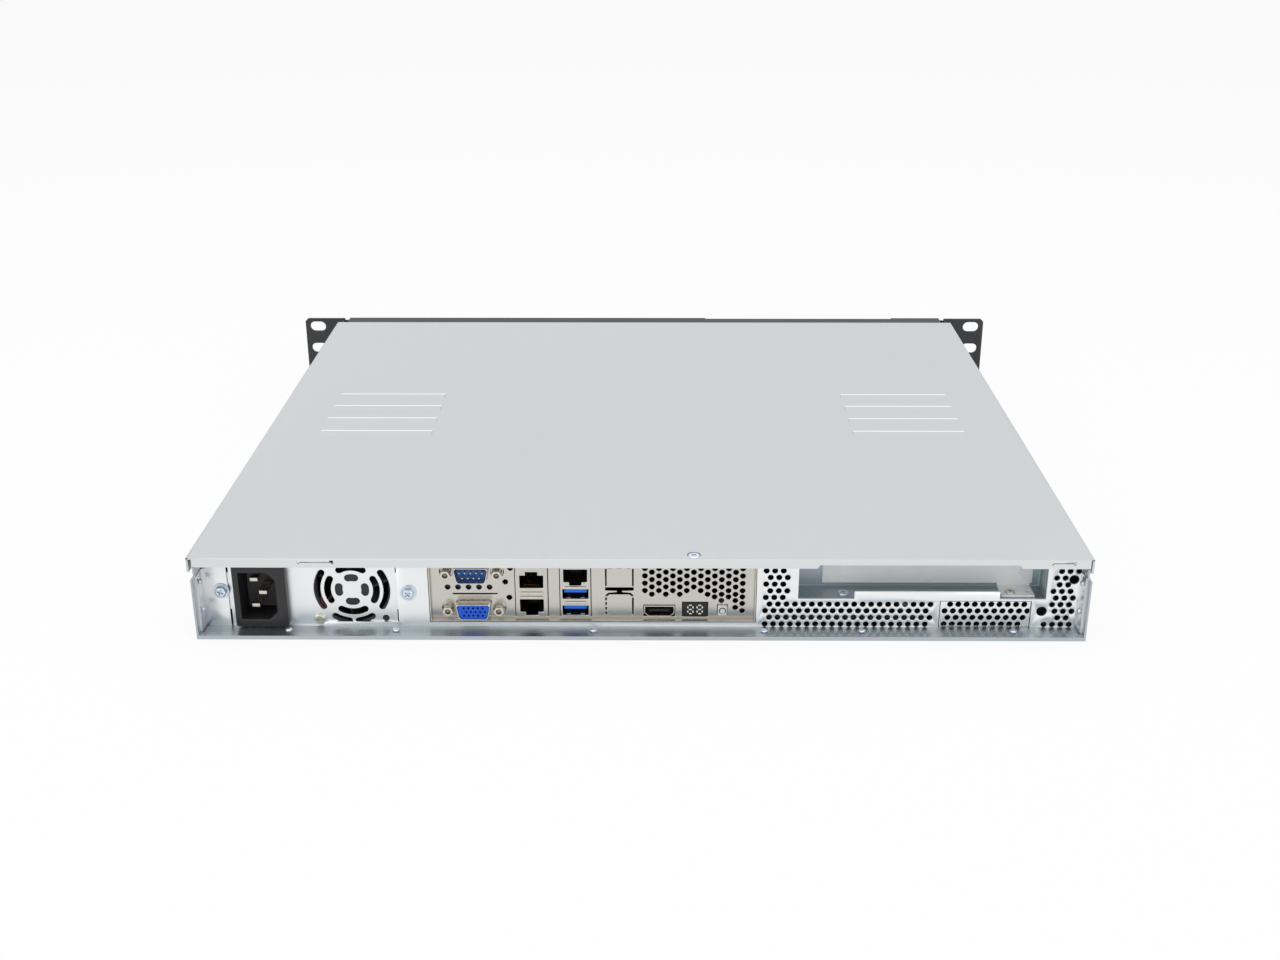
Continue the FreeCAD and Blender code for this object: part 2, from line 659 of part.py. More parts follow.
def make_rear_wall():
    """The rear wall with its flanges, openings and perforated fields."""
    body = new_body("rear_wall_blank")
    across = (wall_back, wall_face)
    step_top = joggle_low + joggle_rise
    upper = inner_half - joggle
    wall_top = tray_top - cover_gap
    right = [(inner_half, skin), (inner_half, joggle_low), (upper, step_top), (upper, wall_top)]
    left = [(-as_size(x), z) for x, z in reversed(right)]
    pad(body, "XZ", across, right + left)
    flange_end = wall_face + wall_flange
    floor_flange = [
        (-inner_half, wall_face),
        (inner_half, wall_face),
        (inner_half - wall_sheet, flange_end),
        (-inner_half + wall_sheet, flange_end),
    ]
    pad(body, "XY", (skin, skin + wall_sheet), floor_flange)
    for side in (-1, 1):
        face = inner_half * side
        inside = (inner_half - wall_sheet) * side
        side_flange = rectangle(sorted((inside, face), key=float), (wall_face, flange_end))
        pad(body, "XY", (skin + wall_sheet, joggle_low), side_flange)
    tab_low = wall_top - wall_sheet
    tab_end = rear - cover_sheet - cover_gap
    tab = rectangle((cover_screw_x - tab_reach, cover_screw_x + tab_reach), (wall_face, tab_end))
    pad(body, "XY", (tab_low, wall_top), tab)
    pocket(body, "XY", (tab_low, wall_top), Circle(cover_screw_x, cover_screw_y, screw_hole))

    psu_left = psu_side + psu_width + psu_margin
    psu_right = psu_side - psu_margin
    step_side = psu_pan_x - psu_pan_radius - psu_pan_gap
    psu_opening = [
        (psu_left, skin + psu_margin / 2),
        (psu_left, height),
        (psu_right, height),
        (psu_right, aperture_low),
        (step_side, aperture_low),
        (step_side, skin + psu_margin / 2),
    ]
    pocket(body, "XZ", across, psu_opening)
    aperture = rectangle((-aperture_right, aperture_left), (aperture_low, aperture_top))
    pocket(body, "XZ", across, aperture)
    ledge_left = pocket_left + 27.5
    ledge_right = pocket_right - 22.5
    pocket_opening = [
        (-pocket_left, pocket_low),
        (-pocket_left, height),
        (-pocket_right, height),
        (-pocket_right, pocket_low),
        (-ledge_right, pocket_low),
        (-ledge_right, pocket_low + pocket_step),
        (-ledge_left, pocket_low + pocket_step),
        (-ledge_left, pocket_low),
    ]
    pocket(body, "XZ", across, pocket_opening)
    pocket(body, "XZ", across, rectangle((-plate_right, -plate_left), (plate_low, plate_top)))

    def row(index):
        return vent_low + vent_step * index

    low, side, corner = -vent_first, -side_vent_first, -corner_vent_first
    # Each block: first hole, level, columns and rows; alternate levels are staggered.
    blocks = [
        (low, 0, 20, 2),
        (low - vent_stagger, 1, 20, 2),
        (side, 4, 3, 3),
        (side - vent_stagger, 5, 3, 2),
        (corner, 0, 4, 1),
        (corner + vent_stagger, 1, 2, 1),
        (corner, 2, 3, 2),
        (corner + vent_stagger, 3, 3, 2),
        (corner + vent_stagger * 2, 6, 2, 1),
        (corner + vent_stagger * 3, 7, 2, 1),
        (corner + vent_stagger, 8, 2, 1),
    ]
    punches = []
    for x, level, columns, rows in blocks:
        pitch = (vent_pitch, vent_step * 2)
        punches += hole_field(across, (x, row(level)), columns, rows, pitch, vent_across)
    punches += hex_holes(across, [(-cable_low, row(2)), (-cable_high, cable_rise)], cable_hole)
    return node("rear_wall", perforated("rear_wall", body, punches))


def make_vent_plate():
    """A loose perforated plate that closes a small opening beside the pocket."""
    body = new_body("vent_plate_blank")
    inset = 0.2
    span = (wall_back - wall_sheet, wall_face)
    plate = rectangle((-plate_right + inset, -plate_left - inset), (plate_low + inset, plate_top - inset))
    pad(body, "XZ", (wall_back, wall_face), plate)
    backing = rectangle((-plate_right - 2, -plate_left + 2), (plate_low + inset, plate_top - inset))
    pad(body, "XZ", (wall_back - wall_sheet, wall_back), backing)
    punches = []
    blocks = [
        (vent_stagger * 2, 0, 10, 1),
        (vent_stagger, 1, 10, 2),
        (vent_stagger * 0, 2, 11, 1),
    ]
    for shift, level, columns, rows in blocks:
        first = (shift - plate_vent_first, vent_low + vent_step * level)
        punches += hole_field(span, first, columns, rows, (plate_pitch, vent_step * 2), vent_across)
    return node("vent_plate", perforated("vent_plate", body, punches))


def make_io_shield():
    """A stamped shield: a recessed face inside a shallow rim, with an opening for every port."""
    body = new_body("io_shield_blank")
    left, right = aperture_left - port_gap, -aperture_right + port_gap
    low, top = aperture_low + port_gap, aperture_top - port_gap
    pad(body, "XZ", (shield_back, wall_face), rectangle((right, left), (low, top)))
    inside = rectangle((right + shield_sheet, left - shield_sheet), (low + shield_sheet, top - shield_sheet))
    pocket(body, "XZ", (shield_face, wall_face), inside)
    through = (shield_back, shield_face)
    for x, z in jack_places():
        pocket(body, "XZ", through, ngon(x, z, jack_across / math.sqrt(3) + port_gap * 2, 12))
    for x, z in ((serial_x, serial_z), (vga_x, vga_z)):
        pocket(body, "XZ", through, shell_outline(x, z, port_gap))
    for x, wide in ((lan_x, lan_wide), (usb_x, usb_wide)):
        reach = wide / 2 + port_gap
        stack = rectangle((x - reach, x + reach), (board_top - port_gap, stack_top + port_gap))
        pocket(body, "XZ", through, stack)
    hdmi_reach = hdmi_wide / 2 + port_gap
    hdmi = rectangle((hdmi_x - hdmi_reach, hdmi_x + hdmi_reach), (board_top - port_gap, hdmi_top + port_gap))
    pocket(body, "XZ", through, hdmi)
    window = code_wide / 2 + port_gap
    code = rectangle((code_x - window, code_x + window), (board_top - port_gap, code_top + port_gap))
    pocket(body, "XZ", through, code)
    key, key_rise = id_wide / 2 + port_gap, id_tall / 2 + port_gap
    id_hole = rectangle((id_x - key, id_x + key), (id_z - key_rise, id_z + key_rise))
    pocket(body, "XZ", through, id_hole)
    # Two blank tabs, each held by its uncut side, with a spring gap between them.
    pocket(body, "XZ", through, rectangle((blank_right, blank_left), (18.4, 21.2)))
    for low_edge, high_edge in ((21.8, 31.2), (6.2, 15.6)):
        for side in (blank_left - blank_slit, blank_right):
            pocket(body, "XZ", through, rectangle((side, side + blank_slit), (low_edge, high_edge)))
    slit_low = 17.2
    pocket(body, "XZ", through, rectangle((70.2, 92.4), (slit_low, slit_low + 0.8)))
    first = (port_vent_first, port_vent_rise)
    punches = hole_field(through, first, 5, 1, (port_vent_pitch, 0), shield_hole)
    for x, z in ((63.7, 31.6), (66.3, 24.1), (64.5, 15.6)):
        punches += hole_field(through, (x, z), 1, 1, (0, 0), shield_hole)
    # The vent field: two staggered sets of columns over a stepped lower edge.
    blocks = [
        (14, 2.5, 8, 4),
        (14, 1.65, 3, 1),
        (14, -0.25, 1, 2),
        (13, 3, 7, 3),
        (13, 2, 3, 1),
        (5, 2, 3, 1),
        (13, 1.15, 2, 1),
        (13, 0.2, 1, 1),
    ]
    for column, level, columns, rows in blocks:
        first = (-shield_vent_first - shield_pitch * column, shield_vent_low + shield_step * level)
        punches += hole_field(through, first, columns, rows, (shield_pitch * 2, shield_step), shield_hole)
    return node("io_shield", perforated("io_shield", body, punches))


def make_expansion_bracket():
    """The pocket behind the wall: a shelf, two cheeks and a back with the card opening."""
    body = new_body("expansion_bracket")
    back = wall_back - pocket_depth
    left, right = -pocket_left + bracket_sheet, -pocket_right - bracket_sheet
    top = tray_top - cover_gap * 4
    floor = rectangle((right, left), (back, wall_back))
    pad(body, "XY", (pocket_low - bracket_sheet, pocket_low), floor)
    for side in (left - bracket_sheet, right):
        cheek = rectangle((side, side + bracket_sheet), (back, wall_back))
        pad(body, "XY", (pocket_low, top), cheek)
    pad(body, "XZ", (back, back + bracket_sheet), rectangle((right, left), (pocket_low, top)))
    window = rectangle((-cover_right + 8, -cover_left - 8), (pocket_low + 3.6, top - 3))
    pocket(body, "XZ", (back, back + bracket_sheet), window)
    return node("expansion_bracket", body)


def make_slot_cover():
    """The blank over the card opening, with a pressed stadium and a screwed foot."""
    body = new_body("slot_cover")
    face = wall_back - pocket_depth + bracket_sheet
    sheet_front = face + bracket_sheet * 0.9
    low, top = pocket_low, tray_top - cover_gap * 5
    pad(body, "XZ", (face, sheet_front), rectangle((-cover_right, -cover_left), (low + 2, top)))
    pressing = rectangle((-cover_right + 6, -cover_left - 8), (low + 3.8, top - 1), 8)
    pad(body, "XZ", (sheet_front, sheet_front + 0.5), pressing)
    foot = rectangle((-foot_right, -foot_left), (face, wall_back - 1.5))
    pad(body, "XY", (low, low + bracket_sheet * 0.9), foot)
    pad(body, "XZ", (face, sheet_front), rectangle((-foot_right, -foot_left), (low, low + 2)))
    slot = ngon(-foot_right + 2.6, wall_back - 6, 1, 8)
    pocket(body, "XY", (low, low + bracket_sheet * 0.9), slot)
    return node("slot_cover", body)


def make_cover():
    """The cover: top sheet, two side flanges, a notched rear lip and pressed louvres."""
    body = new_body("top_cover")
    edge = front + panel_flange + cover_gap
    pad(body, "XY", (tray_top, height), rectangle((-half, half), (edge, rear)))
    flange_low = height - cover_flange
    for side in (-half, half - cover_sheet):
        flange = rectangle((side, side + cover_sheet), (edge, rear))
        pad(body, "XY", (flange_low, tray_top), flange)
    lip_low = height - cover_lip
    inner = half - cover_sheet
    notch_left, notch_right = -pocket_left - 8, -pocket_right + 15.5
    lip = [
        (-inner, tray_top),
        (-inner, lip_low),
        (notch_right, lip_low),
        (notch_right + cover_raise, lip_low + cover_raise),
        (notch_left - cover_raise, lip_low + cover_raise),
        (notch_left, lip_low),
        (inner, lip_low),
        (inner, tray_top),
    ]
    through = (rear - cover_sheet, rear)
    pad(body, "XZ", through, lip)
    lance_low = tray_top - cover_sheet - 0.3
    lance = (lance_low, lance_low + lance_width)
    wide_start, short_start = as_size(146.5), as_size(-207.5)
    pocket(body, "XZ", through, rectangle((wide_start, wide_start + lance_length), lance))
    pocket(body, "XZ", through, rectangle((short_start, short_start + lance_short), lance))
    pocket(body, "XY", (tray_top, height), Circle(cover_screw_x, cover_screw_y, screw_head + 0.05))
    first = rear - louvre_rear
    crest = [
        (first - louvre_depth, height),
        (first, height),
        (first - louvre_depth + 1.2, height + louvre_rise),
        (first - louvre_depth + 0.3, height + louvre_rise),
    ]
    hollow = [
        (first - louvre_depth + 0.6, tray_top),
        (first - 1, tray_top),
        (first - louvre_depth + 1.2, tray_top + louvre_rise),
        (first - louvre_depth + 0.6, tray_top + louvre_rise),
    ]
    for side in (louvre_side, -louvre_side - louvre_length):
        span = (side, side + louvre_length)
        raised = pad(body, "YZ", span, crest)
        repeat(body, [raised], ("Y", -louvre_pitch, 4))
        sunk = pocket(body, "YZ", (span[0] + 1, span[1] - 1), hollow)
        repeat(body, [sunk], ("Y", -louvre_pitch, 4))
    return node("top_cover", body)


def make_cover_screw():
    """The screw that holds the cover's rear edge to the tab of the wall."""
    head_depth = cover_sheet * 0.95
    screw_shank = 4
    shank = peg("shank", "Z", (cover_screw_x, cover_screw_y, tray_top - screw_shank), 1.2, screw_shank, 8)
    head = peg("head", "Z", (cover_screw_x, cover_screw_y, tray_top), screw_head, head_depth, 16)
    return node("cover_screw", fuse("cover_screw", shank, head))


def make_front_panel():
    """The front panel with its top and bottom flanges, drive opening, button holes and vent slots."""
    body = new_body("front_panel_blank")
    reach = half - panel_side
    thick = (front, front + panel_sheet)
    pad(body, "XZ", thick, rectangle((-reach, reach), (ear_edge, height)))
    strip = reach - 3.3
    top_flange = rectangle((-strip, strip), (front + panel_sheet, front + panel_flange))
    pad(body, "XY", (height - panel_sheet, height), top_flange)
    corner = height - panel_sheet
    for side in (-reach, strip):
        pocket(body, "XZ", thick, rectangle((side, side + reach - strip), (corner, height)))
    foot = rectangle((-strip, strip), (front + panel_sheet, front + panel_flange * 0.7))
    pad(body, "XY", (skin, skin + panel_sheet), foot)
    opening_left, opening_right = -disc_left + 2, -disc_left - disc_wide - 2
    bay = rectangle((opening_right, opening_left), (disc_rise - 0.3, height))
    pocket(body, "XZ", (front, front + panel_sheet + 0.3), bay)
    pocket(body, "XZ", thick, ngon(power_x, power_z, power_radius + 0.3, 20))
    pocket(body, "XZ", thick, ngon(reset_x, reset_z, reset_radius + 0.3, 20))
    for index in range(2):
        low = front_usb_z + index * front_usb_step
        usb = rectangle((front_usb_x - 6.8, front_usb_x + 6.8), (low - 3, low + 3))
        pocket(body, "XZ", thick, usb)
    punches = hex_holes(thick, light_places(), light_across + 0.4)
    for x, count, top in ((-26, 12, 37), (-168, 10, 24)):
        for index in range(count):
            low_x = x + vent_slot_pitch * index
            slot = (low_x, low_x + vent_slot)
            punches.append(block("slot", slot, (front - 1, front + panel_sheet + 1), (7, top)))
    return node("front_panel", perforated("front_panel", body, punches))


def make_ear(name, side):
    """An L-shaped rack ear: a slotted face outside the tray and a leg inside it."""
    body = new_body(name)
    root, tip = inner_half - ear_sheet, ear_span / 2
    low, top = ear_edge, height - ear_edge
    inset = tip - ear_corner
    face = [
        (root * side, low),
        (inset * side, low),
        (tip * side, low + ear_corner),
        (tip * side, top - ear_corner),
        (inset * side, top),
        (root * side, top),
    ]
    pad(body, "XZ", (front, ear_back), face)
    leg = rectangle(sorted((root * side, inner_half * side), key=float), (ear_back, ear_back + ear_lap))
    pad(body, "XY", (skin * 2 + panel_sheet, joggle_low - 1), leg)
    centre = (tip - slot_inset) * side
    for index in (-1, 0, 1):
        z = height / 2 + slot_rise * index
        slot = rectangle(
            (centre - slot_length / 2, centre + slot_length / 2),
            (z - slot_width / 2, z + slot_width / 2),
            slot_width / 2,
        )
        pocket(body, "XZ", (front, ear_back), slot)
    return node(name, body)


def make_rivets():
    """Rivet heads on the rear wall's floor flange and side flanges."""
    rivets = []
    beside_inlet = inlet_side - inlet_wide / 2 - rivet_radius - port_gap
    for x in (beside_inlet, 119.8, 23, -60.6, -108.3, -182.1):
        place = (x, rear - rivet_inset, skin + wall_sheet)
        rivets.append(peg("rivet", "Z", place, rivet_radius, rivet_height, 8))
    for x in (-inner_half + wall_sheet, inner_half - wall_sheet - rivet_height):
        for z in (13, 28):
            place = (x, rear - rivet_inset + 1, z)
            rivets.append(peg("rivet", "X", place, rivet_radius, rivet_height, 8))
    return node("chassis_rivets", group("chassis_rivets", rivets))


# ---------------------------------------------------------------- power supply

def make_psu_case():
    """A folded case with side ears, an inlet opening and a ring grille over the fan."""
    body = new_body("psu_case")
    left, right = psu_side + psu_width, psu_side
    back = wall_back - psu_depth
    top = skin + psu_height
    pad(body, "XY", (skin, top), rectangle((right, left), (back, wall_back)))
    inside = rectangle((right + psu_sheet, left - psu_sheet), (back + psu_sheet, wall_back - psu_sheet))
    pocket(body, "XY", (skin + psu_sheet, top - psu_sheet), inside)
    ear_low = skin + psu_ear_low
    for x in ((left, left + psu_ear), (right - psu_ear, right)):
        pad(body, "XZ", (wall_back - psu_sheet, wall_back), rectangle(x, (ear_low, ear_low + psu_ear_tall)))
    rear_face = (wall_back - psu_sheet, wall_back)
    reach_x, reach_z = inlet_wide / 2 - 2, inlet_tall / 2 - 2
    hole = rectangle((inlet_side - reach_x, inlet_side + reach_x), (inlet_rise - reach_z, inlet_rise + reach_z))
    pocket(body, "XZ", rear_face, hole)
    u, v = psu_fan_side, skin + psu_height / 2
    for middle in (0, 90, 180, 270):
        pocket(body, "XZ", rear_face, Sector(u, v, 4.6, 8.6, middle - 30, middle + 30))
        pocket(body, "XZ", rear_face, Sector(u, v, 10.2, 13.7, middle - 37, middle + 37))
    for start, end in ((-36, 36), (54, 126), (144, 216), (234, 268), (272, 306)):
        pocket(body, "XZ", rear_face, Sector(u, v, 15.4, 18.6, start, end))
    front_face = (back, back + psu_sheet)
    slot = pocket(body, "XZ", front_face, rectangle((right + 8, right + 10.5), (skin + 7, top - 7)))
    repeat(body, [slot], ("X", 6, 11))
    return node("psu_case", body)


def make_inlet():
    """The mains inlet: a bezel outside the case, a body inside, and the keyed recess."""
    body = new_body("ac_inlet")
    face = wall_face + inlet_proud
    reach_x, reach_z = inlet_wide / 2, inlet_tall / 2
    across, up = (inlet_side - reach_x, inlet_side + reach_x), (inlet_rise - reach_z, inlet_rise + reach_z)
    bezel = rectangle(across, up, 1.2)
    pad(body, "XZ", (wall_back, face), bezel)
    neck_x, neck_z = reach_x - 2 - port_gap, reach_z - 2 - port_gap
    neck = rectangle((inlet_side - neck_x, inlet_side + neck_x), (inlet_rise - neck_z, inlet_rise + neck_z))
    pad(body, "XZ", (face - inlet_depth - 3, wall_back), neck)
    left, right = inlet_side + 1 + inlet_mouth / 2, inlet_side + 1 - inlet_mouth / 2
    low, top = inlet_rise - inlet_reach / 2, inlet_rise + inlet_reach / 2
    key = 4
    recess = [
        (left, low),
        (left, top),
        (right + key, top),
        (right, top - key),
        (right, low + key),
        (right + key, low),
    ]
    pocket(body, "XZ", (face - inlet_depth, face), recess)
    return node("ac_inlet", body)


def make_inlet_pins():
    floor = wall_face + inlet_proud - inlet_depth
    pins = []
    for name, x, z in (("line", 2.5, 7), ("earth", -1.5, 0), ("neutral", 2.5, -7)):
        middle_x, middle_z = inlet_side + 1 + x, inlet_rise + z
        blade = (middle_x - 2, middle_x + 2)
        pins.append(block(name, blade, (floor, floor + 11), (middle_z - 1, middle_z + 1)))
    return node("inlet_pins", group("inlet_pins", pins))


def make_fan(frame_name, rotor_name, side, depth, x, y, z, blades):
    """An axial fan: frame with a strutted bearing on its rear side, and a bladed rotor.

    y is the frame's rear face, and the air leaves towards +Y.
    """
    frame = new_body(frame_name)
    bore = side / 2 - 0.9
    bearing = side * 0.24
    square = rectangle((-side / 2, side / 2), (-side / 2, side / 2))
    pad(frame, "XZ", (-depth, 0), square, ngon(0, 0, bore, 20))
    plate = 2.2
    pad(frame, "XZ", (-plate, 0), ngon(0, 0, bearing, 12))
    for lean in (45, 135, 225, 315):
        angle = math.radians(lean)
        along, beside = (math.cos(angle), math.sin(angle)), (-math.sin(angle), math.cos(angle))
        near, far = bearing * 0.8, bore + 0.6
        strut = [
            (reach * along[0] + side_step * beside[0], reach * along[1] + side_step * beside[1])
            for reach, side_step in ((near, 1), (far, 1), (far, -1), (near, -1))
        ]
        pad(frame, "XZ", (-plate, -0.4), strut)
    move(frame, x, y, z)
    node(frame_name, frame)

    rotor = new_body(rotor_name)
    hub_front, hub_rear = -depth + 3, -plate - shaft_gap
    pad(rotor, "XZ", (hub_front, hub_rear), ngon(0, 0, bearing, 12))
    middle = (hub_front + hub_rear) / 2
    lean_y, lean_z = (hub_rear - hub_front) / 2 - 0.8, side * 0.13
    blade = [
        (middle - lean_y, -lean_z - 0.6),
        (middle - lean_y, -lean_z + 0.6),
        (middle + lean_y, lean_z + 0.6),
        (middle + lean_y, lean_z - 0.6),
    ]
    fin = pad(rotor, "YZ", (bearing * 0.8, bore - 1.5), blade)
    ring = rotor.newObject("PartDesign::PolarPattern", f"{rotor_name}_blades")
    ring.Originals = [fin]
    ring.Axis = (origin_feature(rotor, "Y_Axis"), [""])
    ring.Angle = 360
    ring.Occurrences = blades
    rotor.Tip = ring
    move(rotor, x, y, z)
    node(rotor_name, rotor)


def make_rear_screws():
    """Two hex washer screws, one pan screw, and two screws on the expansion shelf."""
    hexes = []
    for x in (psu_side + psu_width + psu_screw_left, psu_side - psu_screw_right):
        washer = peg("washer", "Y", (x, wall_face, psu_screw_rise), 4, 0.8)
        head = prism("head", "Y", (x, wall_face + 0.8, psu_screw_rise), 5.5, 2.2)
        hexes.append(fuse("hex_screw", washer, head))
    hexes.append(peg("pan_screw", "Y", (psu_pan_x, wall_back, psu_pan_z), psu_pan_radius, 1.5))
    for x, z in ((-99.7, pocket_low), (-181.5, pocket_low + bracket_sheet * 0.9)):
        hexes.append(peg("shelf_screw", "Z", (x, wall_back - 5, z), 2.8, 0.9))
    return node("rear_screws", group("rear_screws", hexes))


# ---------------------------------------------------------------- rear connectors

def shell_outline(x, z, grow=0):
    """The D-shaped outline of a connector shell, wider along its upper edge."""
    wide, narrow = d_wide / 2 + grow, d_wide / 2 - 1 + grow
    low, top = z - d_tall / 2 - grow, z + d_tall / 2 + grow
    return [
        (x - narrow, low),
        (x + narrow, low),
        (x + wide, low + 1.5),
        (x + wide, top),
        (x - wide, top),
        (x - wide, low + 1.5),
    ]


def jack_places():
    shells = ((serial_x, serial_z), (vga_x, vga_z))
    return [(x + side * jack_spacing / 2, z) for x, z in shells for side in (1, -1)]


def make_d_port(name, x, z, legs):
    """A D-shell connector: flange plate, hollow shell with a pin block, and its housing."""
    body = new_body(name)
    plate_face = shield_back - 0.2
    flange_x, flange_z = jack_spacing / 2 + 2.9, d_tall / 2 + 0.3
    plate = rectangle((x - flange_x, x + flange_x), (z - flange_z, z + flange_z))
    pad(body, "XZ", (plate_face - 1, plate_face), plate)
    tip = plate_face + 6.2
    pad(body, "XZ", (plate_face, tip), shell_outline(x, z))
    pocket(body, "XZ", (tip - 0.9, tip), shell_outline(x, z, -0.5))
    housing_back = plate_face - 12
    pad(body, "XZ", (housing_back, plate_face - 1), rectangle((x - flange_x, x + flange_x), legs))
    return node(name, body)


def make_serial_port():
    feature = make_d_port("serial_port", serial_x, serial_z, (serial_z - 6.6, serial_z + 5.8))
    back = shield_back - 0.2 - 12
    legs = rectangle((serial_x - 15, serial_x + 15), (back - 5, back))
    pad(feature, "XY", (board_top, serial_z + 5.8), legs)
    return feature


def make_vga_port():
    return make_d_port("vga_port", vga_x, vga_z, (board_top, serial_z - 6.8))


def make_jackscrews():
    """Hexagonal posts with a threaded bore, beside the two D-shell connectors."""
    posts = []
    for x, z in jack_places():
        post = prism("post", "Y", (x, shield_back - 0.2, z), jack_across, jack_length)
        bore = peg("bore", "Y", (x, shield_back + 1, z), 1.3, jack_length, 8)
        posts.append(cut("jackscrew", post, bore))
    return node("jackscrews", group("jackscrews", posts))


def network_socket(body, x, low, face, tab_up):
    """The keyed mouth of a network socket, its latch notch above or below."""
    reach, notch, tall, step = 5.85, 3, 6.8, 1.9
    if tab_up:
        levels = (low, low + tall, low + tall + step)
    else:
        levels = (low + tall + step, low + step, low)
    mouth = [
        (x - reach, levels[0]),
        (x + reach, levels[0]),
        (x + reach, levels[1]),
        (x + notch, levels[1]),
        (x + notch, levels[2]),
        (x - notch, levels[2]),
        (x - notch, levels[1]),
        (x - reach, levels[1]),
    ]
    pocket(body, "XZ", (face - socket_depth, face), mouth)


def usb_socket(body, x, low, face):
    """A flat socket mouth with its tongue left standing inside."""
    mouth = rectangle((x - 6.4, x + 6.4), (low, low + 5.2))
    pocket(body, "XZ", (face - socket_depth, face), mouth)
    tongue = rectangle((x - 5.6, x + 5.6), (low + 2.9, low + 4.6))
    pad(body, "XZ", (face - socket_depth, face - 1.2), tongue)


def make_port_stack(name, x, wide):
    body = new_body(name)
    face = shield_face + 0.7
    pad(body, "XZ", (face - stack_depth, face), rectangle((x - wide / 2, x + wide / 2), (board_top, stack_top)))
    return body, face


def make_lan_ports():
    body, face = make_port_stack("lan_ports", lan_x, lan_wide)
    network_socket(body, lan_x, board_top + 0.6, face, False)
    network_socket(body, lan_x, board_top + 15.5, face, True)
    return node("lan_ports", body)


def make_usb_lan_stack():
    body, face = make_port_stack("usb_lan_stack", usb_x, usb_wide)
    usb_socket(body, usb_x, board_top + 0.8, face)
    usb_socket(body, usb_x, board_top + 9.7, face)
    network_socket(body, usb_x, board_top + 17, face, False)
    return node("usb_lan_stack", body)


def make_hdmi_port():
    body = new_body("hdmi_port")
    face = shield_face + 0.7
    low, reach = board_top, hdmi_wide / 2
    pad(body, "XZ", (face - 12, face), rectangle((hdmi_x - reach, hdmi_x + reach), (low, hdmi_top)))
    inner = reach - 0.5
    mouth = [
        (hdmi_x - inner + 1.6, low + 0.5),
        (hdmi_x + inner - 1.6, low + 0.5),
        (hdmi_x + inner, low + 1.9),
        (hdmi_x + inner, hdmi_top - 0.5),
        (hdmi_x - inner, hdmi_top - 0.5),
        (hdmi_x - inner, low + 1.9),
    ]
    pocket(body, "XZ", (face - 9, face), mouth)
    tongue = rectangle((hdmi_x - inner + 1.5, hdmi_x + inner - 1.5), (low + 2.3, low + 3.7))
    pad(body, "XZ", (face - 9, face - 1), tongue)
    return node("hdmi_port", body)


def make_code_display():
    """A two-digit display block that stands in the shield's window."""
    x = (code_x - code_wide / 2, code_x + code_wide / 2)
    depth = (shield_face - 8, shield_face + 0.4)
    return node("code_display", block("code_display", x, depth, (board_top, code_top)))


def make_id_button():
    """The locator key: a cap that passes the shield and its stem behind it."""
    body = new_body("id_button")
    cap = rectangle((id_x - id_wide / 2, id_x + id_wide / 2), (id_z - id_tall / 2, id_z + id_tall / 2))
    pad(body, "XZ", (shield_back - 2.2, shield_face + 1.8), cap)
    stem = rectangle((id_x - 1.2, id_x + 1.2), (id_z - 1.2, id_z + 1.2))
    pad(body, "XZ", (shield_back - 3.4, shield_back - 2.2), stem)
    return node("id_button", body)


# ---------------------------------------------------------------- mainboard

def screw_places():
    across = (board_left - 4, board_left - 123, board_right + 8)
    along = (board_rear - 12, board_rear - 118, board_front + 12)
    return [(x, y) for x in across for y in along if not (x is across[1] and y is along[0])]


def make_board():
    body = new_body("mainboard")
    outline = rectangle((board_right, board_left), (board_front, board_rear))
    pad(body, "XY", (board_rise, board_top), outline)
    return node("mainboard", body)


def make_standoffs():
    posts = [prism("standoff", "Z", (x, y, skin), 5, board_rise - skin) for x, y in screw_places()]
    return node("board_standoffs", group("board_standoffs", posts))


def make_board_screws():
    heads = [prism("board_screw", "Z", (x, y, board_top), 5, 1.8) for x, y in screw_places()]
    return node("board_screws", group("board_screws", heads))


def make_cpu_socket():
    """The processor socket with its load frame, and the processor lid standing in it."""
    body = new_body("cpu_socket")
    reach = socket_side / 2
    frame = rectangle((cpu_x - reach, cpu_x + reach), (cpu_y - reach, cpu_y + reach))
    pad(body, "XY", (board_top, board_top + 3), frame)
    lid = rectangle((cpu_x - lid_side / 2, cpu_x + lid_side / 2), (cpu_y - lid_side / 2, cpu_y + lid_side / 2))
    pad(body, "XY", (board_top + 3, board_top + socket_rise), lid)
    return node("cpu_socket", body)


def make_heatsink():
    """A skived heatsink: a base plate and fins that run with the air."""
    body = new_body("cpu_heatsink")
    base = board_top + socket_rise
    reach = sink_side / 2
    outline = rectangle((cpu_x - reach, cpu_x + reach), (cpu_y - reach, cpu_y + reach))
    pad(body, "XY", (base, base + 3), outline)
    first = cpu_x - reach + 5
    fin_outline = rectangle((first, first + 0.8), (cpu_y - reach, cpu_y + reach))
    fin = pad(body, "XY", (base + 3, base + 3 + fin_rise), fin_outline)
    fins = 23
    repeat(body, [fin], ("X", (sink_side - 10.8) / (fins - 1), fins))
    return node("cpu_heatsink", body)


